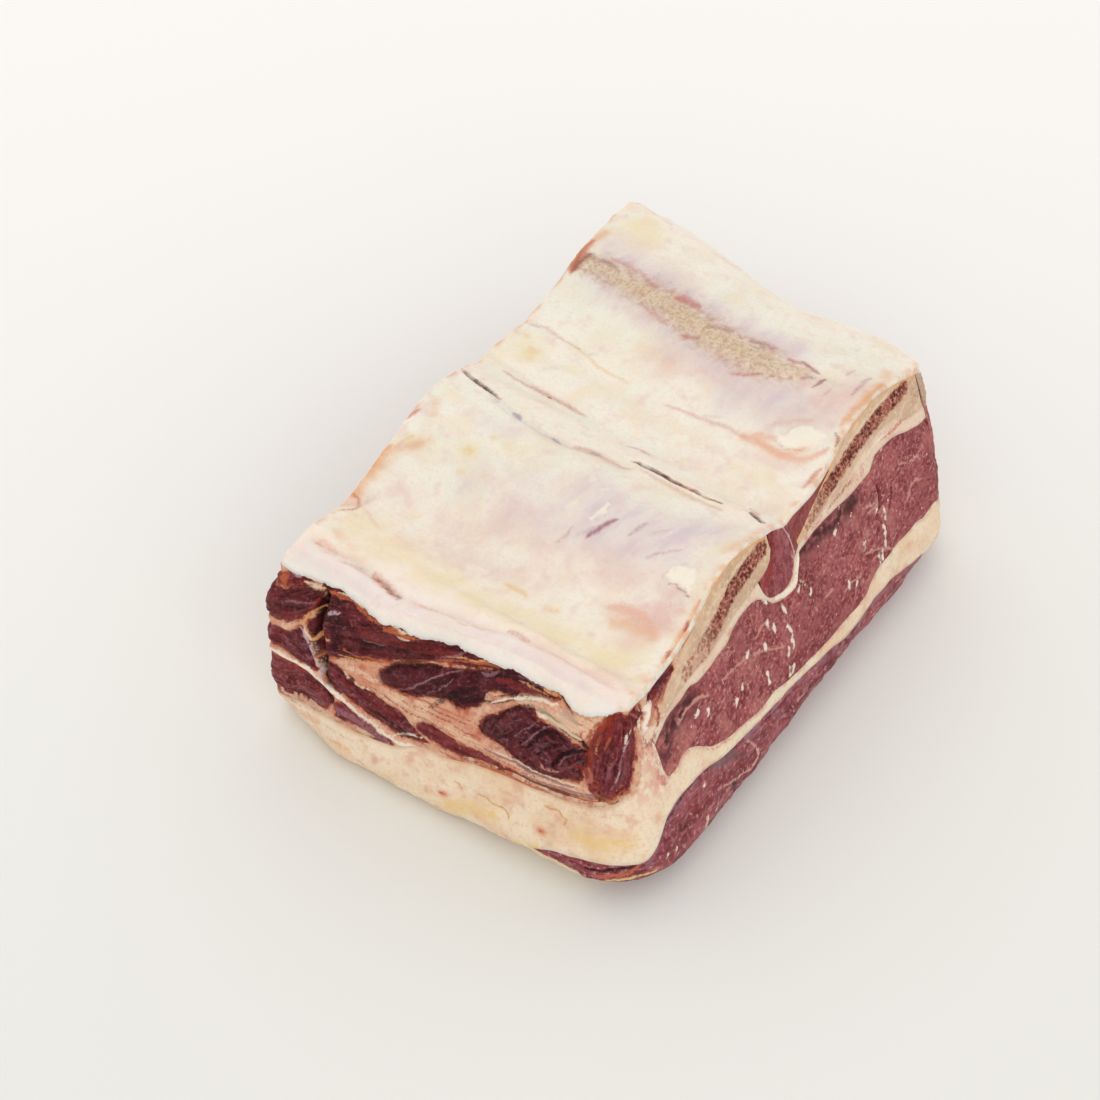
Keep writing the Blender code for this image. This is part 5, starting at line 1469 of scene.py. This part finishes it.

# ------------------------------
# Top sheet: the thin, tough membrane and fat that lined the inside of the rib cage. It is stretched over the
# ribs, sinks in between them with a few slits, and is rolled over the front cut. Translucent cream, with
# lilac and pink where meat shines through, yellow fat, and a bare tan strip of bone lining on the back rib.
# Its slits and the fold between the ribs are painted dark as shade, its flakes have painted shadows, and a
# few white spots are painted glints.
# ------------------------------
ROLL = 0.5
fine_lines = np.concatenate(
    [steps(FRONT, -1.1, 0.055)[:-1], steps(-1.1, 0.6, 0.03)[:-1], steps(0.6, BACK, 0.055)]
)
sheet = Skin(
    (FRONT, BACK), sheet_floor, top, 0.055, front=0.05, back=0.05, thick=0.05, s_lines=fine_lines, grid=True,
)
s, a, (x, y, z) = sheet.s, sheet.a, sheet.flat.T
roof = sheet.c > 1 - 1e-6
SLITS = (
    ((-5.7, 0.12, -5.38, 0.04, -5, -0.06, -4.65, -0.16, -4.29, -0.27, -3.96, -0.33), 0.07, 0.24),
    ((
        0.08, -0.26, 0.36, -0.24, 0.65, -0.23, 0.97, -0.25, 1.32, -0.26, 1.65, -0.23, 1.99, -0.2, 2.35, -0.16,
    ), 0.05, 0.22),
    ((2.76, -0.12, 3.16, -0.09, 3.44, 0.05, 3.79, -0.06, 4.2, -0.17), 0.02, 0.08),
)
FOLD = (
    -4.17, -0.53, -3.82, -0.57, -3.38, -0.68, -3.08, -0.74, -2.6, -0.8, -2.15, -0.82, -1.86, -0.83, -1.46,
    -0.85, -0.79, -0.7, -0.36, -0.62, 0.1, -0.64,
)
CREASE = (
    -5.3, -6.7, -4.85, -6.81, -4.47, -6.75, -4.07, -6.76, -3.73, -6.82, -3.31, -6.89, -2.95, -6.97, -2.62,
    -7.05, -2.3, -7.16, -1.94, -7.16, -1.44, -7.09, -0.87, -7.03, -0.25, -6.98, 0.32, -6.96, 0.8, -6.86, 1.25,
    -6.82, 1.78, -6.79, 2.2, -6.76, 2.55, -6.74, 3.06, -6.72, 3.57, -6.71,
)
TAN = (
    -5.6, 5.72, -5.33, 5.69, -4.88, 5.66, -4.34, 5.55, -3.46, 5.46, -2.83, 5.39, -2.26, 5.27, -1.72, 5.14,
    -1.12, 4.95, -0.51, 4.83, 0.03, 4.74, 0.57, 4.67, 1.15, 4.64, 1.65, 4.65, 2.1, 4.68,
)
# The sheet rolls over the front cut in a round edge
roll = np.minimum(ROLL, 0.8 * (top(FRONT + 0 * s, a) - sheet_floor(FRONT + 0 * s, a)))
u, w = np.clip(1 - (s - FRONT) / roll, 0, 1), np.clip(1 - sheet.above / roll, 0, 1)
sheet.points[:, 1] += roll * u * (1 - np.sqrt(1 - w * w / 2))
sheet.points[:, 2] -= roll * w * (1 - np.sqrt(1 - u * u / 2))
gap, share, turn = off_line(x, y, TAN)
tan = along(share, ((0, 0.22), (0.15, 0.28), (0.35, 0.36), (0.6, 0.42), (0.85, 0.44), (1, 0.14))) - gap
relief = 0.035 * noise(sheet.points, 1.6, 90, 2) + 0.012 * noise(sheet.points, 0.3, 91)
relief += 0.02 * noise(np.stack([0.8 * x, 2.6 * y, z], 1), 1.0, 96, 2)
for path, half, drop in SLITS:
    d = line(x, y, path, half)
    gap, where, turn = off_line(x, y, path)
    ends = smooth(where, 0, 0.2) * smooth(1 - where, 0, 0.2)
    relief -= drop * smooth(d, -0.01, 0.04) * (0.3 + 0.7 * ends)
gap, where, turn = off_line(x, y, CREASE)
relief -= (0.07 + 0.05 * smooth(-x, 2.0, 3.4)) * bell(gap, 0.09) * roof
relief += 0.05 * bell(gap - 0.28, 0.2) * roof
relief -= 0.05 * band(x, y, FOLD, 0.12) * roof
creases = (
    ((-5.7, 3.3, -5.22, 3.22, -4.69, 3.12, -4.02, 3.03, -3.33, 2.92), 0.05),
    ((-5.5, 1.36, -4.58, 1.22, -3.83, 1.04, -2.99, 0.98, -2.1, 0.82, -1.68, 0.82), 0.045),
    ((-5.68, -5.13, -5.51, -4.92, -5.24, -4.76, -5.1, -4.45), 0.06),
    ((3.33, 0.11, 3.59, 0.02, 3.88, -0.11), 0.05),
)
for path, depth in creases:
    relief -= depth * band(x, y, path, 0.07) * roof
flakes = (
    ((
        2.96, -3.24, 3.04, -3.02, 3.23, -2.82, 3.52, -2.77, 3.76, -2.88, 3.8, -3.2, 3.82, -3.42, 3.6, -3.34,
        3.35, -3.29, 3.18, -3.33,
    ), 0.05),
    ((
        2.53, 2.93, 2.77, 2.84, 2.88, 3.16, 3.1, 3.31, 3.48, 3.29, 3.76, 3.22, 3.77, 2.93, 3.5, 2.67, 3.11,
        2.54, 2.84, 2.59, 2.6, 2.72,
    ), 0.04),
    ((0.17, 1.21, 0.23, 1.55, 0.53, 1.71, 0.73, 1.62, 0.68, 1.33, 0.4, 1.12), 0.02),
    ((0.36, -2.75, 0.45, -2.5, 0.5, -2.18, 0.62, -2.2, 0.6, -2.55, 0.45, -2.8), 0.03),
)
ragged_x, ragged_y = x + 0.06 * noise(sheet.points, 0.22, 94), y + 0.06 * noise(sheet.points, 0.22, 95)
flake = np.full(len(x), -0.7)
for edge, lift_up in flakes:
    d = outline(ragged_x, ragged_y, edge)
    flake = np.maximum(flake, d)
    relief += lift_up * smooth(d, -0.03, 0.05) * roof
relief += 0.03 * smooth(tan, -0.1, 0.1) * noise(sheet.points, 0.16, 92) * roof


def blots(*places):
    """Soft areas of the sheet, each as its width, weight and the path of its middle."""
    areas = [weight * band(x, y, path, width) for width, weight, *path in places]
    return np.clip(sum(areas), 0, 1) * roof


fields = {
    "tan": np.where(roof, np.clip(tan, -0.7, 1), -0.7), "flake": np.where(roof, flake - 0.03, -0.7),
    "yellow": blots(
        (0.75, 0.8, -4.5, -5.6, -2.5, -5.9, -0.5, -6.1, 1.5, -6.1, 3, -6), (0.6, 0.9, -4.77, 7.6, -4.2, 7.2),
        (0.35, 0.8, -5.4, 2.46, -4.6, 2.1), (0.12, 0.6, -4.18, 2.03, -3.41, 2.07, -2.94, 2.15),
        (0.2, 0.9, -3.7, -2.45, -3.4, -2.35), (0.25, 0.6, -5.04, -1, -4.8, -1.1),
        (0.25, 0.6, -5.2, 1.6, -4.8, 1.8), (0.4, 0.5, 2.26, 1.23, 2.99, 1.28),
        (0.3, 0.4, 1.68, -3.28, 1.82, -2.62), (0.7, 0.35, -2.6, 4.4, -1.8, 3.2, -3.4, 3.9),
        (0.3, 0.5, -2.9, -1.9, -2, -1.6), (0.4, 0.4, 3.2, -5.9, 3.6, -5.2), (0.2, 0.6, 3.7, -2, 3.9, -1.4),
    ),
    "orange": blots(
        (0.17, 0.9, -5.5, -4.6, -5.5, -4.2, -5.45, -3.6, -5.2, -3.1, -4.7, -2.6),
        (0.16, 0.9, -5.9, 5.2, -5.6, 6, -5.4, 6.8),
        (0.16, 0.9, 1.85, 2.38, 2.06, 2.38, 2.37, 2.37, 2.7, 2.31, 3.11, 2.29, 3.4, 2.55, 3.6, 2.85),
        (0.22, 0.8, 2.5, -4.9, 2.91, -4.71, 3.23, -4.74, 3.45, -4.64, 3.67, -4.78),
        (0.2, 0.8, 3.95, 4.8, 4, 5.6, 3.9, 6.2), (0.16, 0.5, -4.9, -6.2, -4.4, -6.5, -3.9, -6.6),
        (0.12, 0.5, 3.9, -1.9, 4, -1.2, 4.1, -0.5), (0.14, 0.5, -5.2, -1.5, -5, -1.9),
        (0.1, 0.6, 1.2, -0.55, 2, -0.5, 2.7, -0.42),
    ),
    "pink": blots(
        (0.6, 0.7, -1.5, -3.6, 0, -3.6, 1.5, -3.6, 3.4, -3.9), (0.35, 0.4, -5.4, 6.6, -4.2, 6.75, -2.2, 6.1),
        (0.5, 0.45, -3.6, -5.2, -1.5, -5, 0.5, -4.7), (0.4, 0.3, 1.2, 0.9, 2.6, 1),
        (0.55, 0.8, -1.59, 3.65, -0.38, 3.73, 0.8, 3.8, 2.18, 4.05, 3.25, 4.25, 3.74, 4.95),
        (0.5, 0.6, 1.6, -6.9, 2.6, -7, 3.6, -6.6), (0.4, 0.6, 3.2, -5.2, 3.6, -4.2, 3.6, -3.6),
        (0.6, 0.3, -4.8, -3.9, -3.5, -4.2, -2.2, -4.3), (0.5, 0.6, 2.6, 3.3, 3.4, 3.6),
        (0.2, 0.8, -5.6, -5, -5.2, -4.6), (0.25, 0.4, 3.6, 0.2, 3.9, 0.6),
        (0.25, 0.5, 2.1, 1.9, 3, 2, 3.7, 2.2), (0.12, 0.7, -0.1, 0.4, 0.6, 0.5),
        (0.16, 0.6, -2.2, -0.95, -0.4, -0.8, 0.2, -0.75),
    ),
    "lilac": blots(
        (0.55, 0.5, 0.8, 3.2, 2.4, 3.3, 3.4, 3.6), (0.6, 0.6, -1.5, -3.4, 0, -3.1, 1.5, -2.9, 3, -2.6),
        (0.4, 0.9, -4.93, 6.34, -3.84, 6.13, -2.67, 5.94, -1.69, 5.77, -0.46, 5.57, 0.71, 5.44, 1.62, 5.46),
        (0.45, 0.8, -4.67, 5.23, -3.34, 4.91, -2.01, 4.56, -1.02, 4.24, 0.1, 3.95, 1.41, 3.8, 2.53, 3.98),
        (0.6, 0.9, 0.27, -2.07, 1.2, -2.1, 2.01, -1.98, 2.71, -1.69, 3.41, -1.38),
        (0.6, 0.45, -3, -3, -1.4, -2.4, 0.2, -1.9),
        (0.3, 0.7, -5.2, -7.3, -3.6, -7.3, -2, -7.5, 0.5, -7.3, 3, -7.2), (0.35, 0.5, -3.7, -1.5, -2.8, -1.3),
        (0.5, 0.5, 1.2, -3.1, 2.6, -2.6),
    ),
    "band": np.where(roof, bell(tan, 0.07), 0),
    "raw_edge": bell((1 - a) * LENGTH, 0.16) + bell(a * LENGTH, 0.12), "roll": smooth(-s, 7.0, 7.5),
    "grain": grain_of(0.3 * x + 0.95 * y, 0.95 * x - 0.3 * y),
}
SHEET_MARKS = (
    ("rust", 0.6, 0.05, -4.39, -6.98, -3.95, -6.91, -3.39, -6.85),
    ("rust", 0.85, 0.1, -3.39, -6.85, -3.11, -6.93, -2.87, -6.97, -2.58, -7.12, -2.4, -7.19),
    ("brown", 0.6, 0.035, -3.2, -6.95, -2.7, -7.08, -2.4, -7.2),
    ("orange", 0.6, 0.035, -2.4, -7.19, -1.72, -7.12, -0.89, -7.07, -0.51, -7.13, 0.19, -7.02),
    ("rust", 0.6, 0.06, 0.7, -6.8, 0.97, -6.76, 1.33, -6.8),
    ("orange", 0.5, 0.035, 1.33, -6.8, 1.96, -6.82, 2.49, -6.79, 3.2, -6.82, 3.95, -6.76),
    ("salmon", 0.8, 0.1, -5.23, -6.74, -4.95, -6.69, -4.53, -6.79),
    ("yellow", 0.7, 0.13, -3.65, -2.45, -3.45, -2.37), ("yellow", 0.6, 0.1, -3.28, -1.8, -3.1, -1.72),
    ("yellow", 0.8, 0.09, -5.25, -2.82, -5.13, -2.66), ("yellow", 0.5, 0.1, -2.85, -2.85, -2.72, -2.75),
    ("yellow", 0.5, 0.09, -3.5, -3, -3.35, -2.93),
    ("orange", 0.75, 0.15, -5.53, -3.11, -5.65, -3.55, -5.67, -3.91, -5.69, -4.32, -5.59, -4.7),
    ("orange", 0.5, 0.1, -5.3, -2.9, -5.45, -3.3),
    ("rust", 0.7, 0.05, -5.57, -5.39, -5.34, -5.16, -5.22, -4.97, -5.34, -4.71, -5.61, -4.62),
    ("cream", 0.8, 0.1, -5.6, -5, -5.42, -4.92), ("salmon", 0.5, 0.08, -5.22, -4.8, -4.89, -5, -4.3, -5.36),
    ("wine", 0.95, 0.075, 0.55, -3.2, 0.74, -2.87, 0.85, -2.65, 0.98, -2.4),
    ("wine", 0.4, 0.05, 0.3, -3.3, 0.6, -2.9), ("wine", 0.45, 0.06, -0.01, -3.64, 0.08, -3.37, 0.12, -3.1),
    ("wine", 0.5, 0.07, 1.5, -2.7, 1.64, -2.34, 1.72, -2.1),
    ("wine", 0.45, 0.06, 2.29, -3.01, 2.63, -2.71, 2.98, -2.39), ("wine", 0.35, 0.08, 2, -2.4, 2.3, -2),
    # Painted glints: the white spots on this line and the next
    ("white", 0.8, 0.09, -0.27, -1.74, -0.15, -1.6), ("white", 0.8, 0.06, 0.2, -1.88, 0.32, -1.7),
    ("white", 0.9, 0.06, 0.42, -2.62, 0.56, -2.24), ("white", 0.7, 0.06, -0.28, -2.6, -0.16, -2.46),
    ("pink", 0.5, 0.26, 2.1, -4.6, 3.03, -4.5, 3.93, -4.4),
    ("salmon", 0.8, 0.13, 2.26, -4.54, 2.69, -4.38, 3.3, -4.4), ("pink", 0.5, 0.2, 3.4, -3.9, 3.9, -3.8),
    ("orange", 0.8, 0.1, 4.11, -3.4, 4.19, -3.98, 4.24, -4.51, 4.27, -4.96, 4.28, -5.3),
    ("ember", 0.9, 0.055, 4.12, -4.02, 4.21, -4.25), ("ember", 0.7, 0.07, 4.24, -4.88, 4.27, -5.09),
    # Painted shade along the fold between the ribs: the slate and peach marks from here to the next slate
    # spot
    ("slate", 0.85, 0.075, -3.32, -0.6, -3.05, -0.74), ("slate", 0.85, 0.07, -2, -0.83, -1.69, -0.91),
    ("slate", 0.35, 0.13, -3.94, -0.4, -3.24, -0.63, -2.6, -0.8, -1.82, -0.86),
    ("peach", 0.75, 0.12, -1.36, -0.76, -0.85, -0.69, -0.19, -0.72, 0.2, -0.67),
    ("slate", 0.6, 0.08, -0.9, -0.7, -0.6, -0.7), ("rust", 0.85, 0.06, *SLITS[0][0][2:]),
    # Painted shade in the first slit: the black mark, and the slate line after it on the next line
    ("black", 1.0, 0.085, -5.45, 0.06, -5, -0.06, -4.5, -0.2, -4.1, -0.31),
    ("blood", 0.9, 0.02, -5.3, 0.02, -4.9, -0.1), ("slate", 0.5, 0.05, -4.3, -0.42, -3.9, -0.48),
    ("rust", 0.8, 0.055, *SLITS[1][0]),
    # Painted shade in the second slit: the black and brown marks
    ("black", 1.0, 0.058, 0.1, -0.27, 0.5, -0.25, 0.97, -0.26, 1.6, -0.24),
    ("brown", 1.0, 0.045, 1.5, -0.24, 2.2, -0.18, 2.72, -0.16),
    ("peach", 0.6, 0.08, 0.43, -0.43, 0.91, -0.5, 1.36, -0.49, 2.2, -0.47, 2.9, -0.45),
    # Painted shade in the third slit
    ("brown", 1.0, 0.06, 3.4, 0.1, 3.65, 0.02, 3.94, -0.11),
    ("wine", 0.32, 0.26, -4.9, 6.15, -3.5, 5.92, -2.2, 5.78, -1, 5.45, 0.3, 5.2, 1.5, 5.1, 2.3, 5),
    ("wine", 0.26, 0.26, -5, 5.35, -3.5, 5.05, -2.2, 4.7, -1.1, 4.4, 0.2, 4.15, 1.4, 4.1, 2.4, 4.4),
    ("wine", 0.3, 0.2, 2.2, 4.7, 2.7, 4.75, 3.2, 4.85), ("peach", 0.7, 0.06, 3.3, 0.2, 3.7, 0.15),
    ("flesh", 0.65, 0.055, -4.94, 1.16, -4.58, 1.13, -4.24, 1.07, -3.85, 1.04, -3.49, 1.02, -2.92, 0.97,
     -2.46, 0.91, -2.06, 0.88), ("flesh", 0.5, 0.05, -5.51, 3.23, -5, 3.25, -4.53, 3.08, -3.73, 2.96),
    ("yellow", 0.7, 0.055, -3.9, 3, -3.21, 2.74, -2.78, 2.58, -2.12, 2.56, -1.8, 2.49),
    ("yellow", 0.6, 0.16, -4.85, 2.3, -4.6, 2.12), ("yellow", 0.6, 0.13, -5.32, 2.75, -5.1, 2.65),
    ("yellow", 0.5, 0.1, -4.7, 1.93, -4.5, 1.87),
    ("flesh", 0.85, 0.055, -5.55, -2.32, -5.47, -2.09, -5.39, -1.96),
    ("rust", 0.85, 0.13, -5.48, 5.25, -5.55, 5.76, -5.52, 6.06, -5.51, 6.41),
    ("red", 0.75, 0.11, -5.45, 5.35, -5.39, 5.67, -5.3, 5.92),
    ("brown", 0.6, 0.11, -5.26, 5.91, -4.82, 5.86, -4.4, 5.81),
    ("flesh", 0.5, 0.08, -4.7, 6.05, -4.08, 6, -3.46, 5.81, -2.9, 5.65),
    ("flesh", 0.8, 0.12, -2.35, 5.62, -2, 5.68, -1.62, 5.6),
    ("red", 0.5, 0.07, -1.02, 5.12, -0.67, 5.17, -0.29, 5.21),
    ("red", 0.5, 0.07, 0.3, 5.12, 0.72, 5.17, 1.1, 5.22),
    ("flesh", 0.7, 0.08, -1.5, 4.55, -1.27, 4.62, -1, 4.68),
    ("rust", 0.6, 0.06, 0.4, 3.95, 0.81, 4.05, 1.1, 4.23),
    ("flesh", 0.5, 0.07, -3.11, 5.02, -2.53, 4.86, -2.01, 4.7), ("flesh", 0.7, 0.06, 1.5, 5.07, 1.95, 5),
    ("wine", 0.9, 0.05, 1.89, 5.11, 2.21, 5.03, 2.52, 4.94),
    ("wine", 0.85, 0.05, 2.6, 4.45, 2.69, 4.7, 2.77, 4.87),
    ("wine", 0.6, 0.07, 3.64, 4.67, 3.64, 5.14, 3.68, 5.65), ("wine", 0.5, 0.05, 3.14, 5.22, 3.21, 5.61),
    ("wine", 0.6, 0.05, 2.2, 4.6, 2.5, 4.75), ("wine", 0.4, 0.05, 3, 4.3, 3.05, 4.6),
    ("salmon", 0.85, 0.14, 1.85, 2.38, 2.21, 2.41, 2.64, 2.32, 3.13, 2.27, 3.54, 2.31, 3.83, 2.55,
     3.98, 2.88), ("salmon", 0.75, 0.14, 2.03, 2.58, 2.38, 2.66, 2.6, 2.7),
    ("pink", 0.6, 0.12, 2.3, 3, 2.7, 3.3, 3.2, 3.5),
    ("orange", 0.8, 0.13, 4.06, 5.6, 4.07, 5.01, 4.01, 4.49, 3.97, 4.05, 3.94, 3.66),
    ("brown", 0.75, 0.04, 3.93, 3.42, 4.1, 3.24, 4.15, 3.02),
    ("rust", 0.7, 0.08, 4.16, 2.27, 4.14, 1.92, 4.11, 1.52),
    ("pink", 0.7, 0.08, -0.54, 2.32, -0.04, 2.38, 0.61, 2.41, 1.2, 2.44, 1.85, 2.38),
    ("wine", 0.35, 0.06, 0.5, 2.55, 0.95, 2.68), ("flesh", 0.7, 0.05, -0.54, 0.36, -0.21, 0.52, 0.14, 0.47),
    ("yellow", 0.8, 0.09, -0.55, -5.14, -0.22, -5.18, 0.15, -5.22),
    ("yellow", 0.6, 0.09, 0.7, -5.26, 1.15, -5.2),
    # Painted shadows: the brown line along a flake's lower edge and the two thin rust lines that follow
    ("brown", 0.7, 0.03, 3.18, -3.37, 3.36, -3.33, 3.6, -3.38, 3.82, -3.47),
    ("rust", 0.5, 0.025, 2.55, 2.66, 2.84, 2.53, 3.11, 2.48, 3.5, 2.6),
    ("rust", 0.5, 0.02, 2.95, -3.3, 2.98, -3.1), ("yellow", 0.4, 0.1, -4, -4.6, -3.6, -4.3),
    ("yellow", 0.5, 0.1, 3.9, -6.3, 4.1, -5.9),
)
fields["marks"], fields["cover"], sunk = brush(sheet, x, y, SHEET_MARKS, roof, spread=0.7)
relief += 0.6 * sunk
fade = np.where(roof, 1, smooth(sheet.below, 0, 0.08))
relief = relief * fade + (0.045 * smooth(sheet.below, 0, 0.25) - 0.015) * (s < FRONT + 0.02)
lining = sheet.mesh("rib_lining", fields, relief)
tree, shader, here = material_for(lining, (0.3, 0.5), sheen=0.15, soft=0.35, depth=0.004)
fat = use(tree, FAT, Place=here, Cream=(243, 232, 217), Warm=(240, 224, 202), Pink=(234, 210, 200))
drawn = {0: vector(tree, "grain"), 1: (0.5, 2.2, 1.0)}
drawn = node(tree, "ShaderNodeVectorMath", drawn, operation="MULTIPLY").outputs[0]
streaks = patchy(tree, drawn, 1.0, 0.38, 0.68)
cloud = patchy(tree, here, 1.3, 0.35, 0.62)
fine = patchy(tree, here, 6.0, 0.42, 0.64)
gritty = patchy(tree, here, 11.0, 0.45, 0.62)
edgy = patchy(tree, here, 2.4, 0.38, 0.66)
soft_cloud = ramp(tree, cloud, 0.0, 1.0, 0.4, 1.0)
bare = ragged(tree, here, "tan", 4.0, 0.28, 0.34)
colour = stained(tree, fat["Colour"], [
    (shown(tree, "yellow", times(tree, soft_cloud, 0.85)), (238, 218, 176)),
    (shown(tree, "pink", times(tree, soft_cloud, 0.8)), (224, 186, 176)),
    (shown(tree, "lilac", ramp(tree, streaks, 0.0, 1.0, 0.5, 0.9)), (216, 196, 198)),
    (shown(tree, "roll", 0.5), (236, 222, 218)),
    (shown(tree, "orange", ramp(tree, cloud, 0.0, 1.0, 0.3, 0.75)), (226, 172, 126)),
    (times(tree, bare, ramp(tree, fine, 0.0, 1.0, 0.7, 0.95)), (208, 180, 148)),
    (times(tree, bare, times(tree, gritty, 0.4)), (168, 124, 98)),
    (shown(tree, "band", times(tree, fine, 0.5)), (180, 126, 114)),
    (times(tree, ragged(tree, here, "flake", 6.0, 0.13, 0.08), 0.75), (246, 234, 216)),
    (shown(tree, "raw_edge", ramp(tree, edgy, 0.0, 1.0, 0.1, 0.65)), (222, 160, 122)),
])
colour = marked(tree, colour, here, Rough=0.55, Soft=0.7)
finish_material(tree, shader, colour, fat["Height"], 0.0004)
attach(lining, "root")
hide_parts("top_sheet")

# ------------------------------
# Stage: a plain pale floor whose colour is painted a little paler at the far left as painted light, a large
# soft light from the left and a fill light from the right front, and the camera at the photograph's angle.
# ------------------------------
FLOOR_HALF = 4
LENS, SENSOR = 108, 36  # millimetres
CAMERA_AT = (0.30917, -0.49755, 0.67303)
CAMERA_TOWARDS = (-0.37423, 0.55482, -0.74314)  # from 34 degrees round and 48 degrees above the floor
LIGHT_AIM = (0, 0, 0.03)
# Each light: its name, size, place and power
LIGHTS = (("window", 1.2, (-0.9, 0.5, 1.3), 2.7), ("fill", 1.5, (1.05, -1.0, 0.8), 5.6))

mesh = bpy.data.meshes.new("floor")
corners = [(x * FLOOR_HALF, y * FLOOR_HALF, 0) for x, y in ((-1, -1), (1, -1), (1, 1), (-1, 1))]
mesh.from_pydata(corners, [], [(0, 1, 2, 3)])
floor = bpy.data.objects.new("floor", mesh)
bpy.context.scene.collection.objects.link(floor)
material = bpy.data.materials.new("pale floor")
material.use_nodes = True
tree = material.node_tree
shader = tree.nodes["Principled BSDF"]
shader.inputs["Roughness"].default_value = 0.9
shader.inputs["Specular IOR Level"].default_value = 0.1
place_here = node(tree, "ShaderNodeTexCoord").outputs["Object"]
# Painted light: the floor's colour is paler towards the far left
painted_light_way = {0: place_here, 1: (-0.62, 0.78, 0.0)}
towards = node(tree, "ShaderNodeVectorMath", painted_light_way, operation="DOT_PRODUCT").outputs["Value"]
pale = mix(tree, ramp(tree, towards, -0.3, 0.32), (228, 228, 222), (246, 244, 241))
tree.links.new(pale, shader.inputs["Base Color"])
mesh.materials.append(material)

world = bpy.data.worlds.new("room")
bpy.context.scene.world = world
world.use_nodes = True
world.node_tree.nodes["Background"].inputs["Color"].default_value = (1.0, 0.99, 0.98, 1)
world.node_tree.nodes["Background"].inputs["Strength"].default_value = 0.92
for name, size, at, power in LIGHTS:
    lamp = bpy.data.lights.new(name, "AREA")
    lamp.size, lamp.energy = size, power
    light = bpy.data.objects.new(name, lamp)
    light.location = at
    light.rotation_euler = (Vector(LIGHT_AIM) - Vector(at)).to_track_quat("-Z", "Y").to_euler()
    bpy.context.scene.collection.objects.link(light)

camera = bpy.data.objects.new("camera", bpy.data.cameras.new("camera"))
camera.data.lens = LENS
camera.data.sensor_width = SENSOR
camera.location = CAMERA_AT
camera.rotation_euler = Vector(CAMERA_TOWARDS).to_track_quat("-Z", "Y").to_euler()
bpy.context.scene.collection.objects.link(camera)
bpy.context.scene.camera = camera
bpy.context.scene.view_settings.view_transform = "Standard"
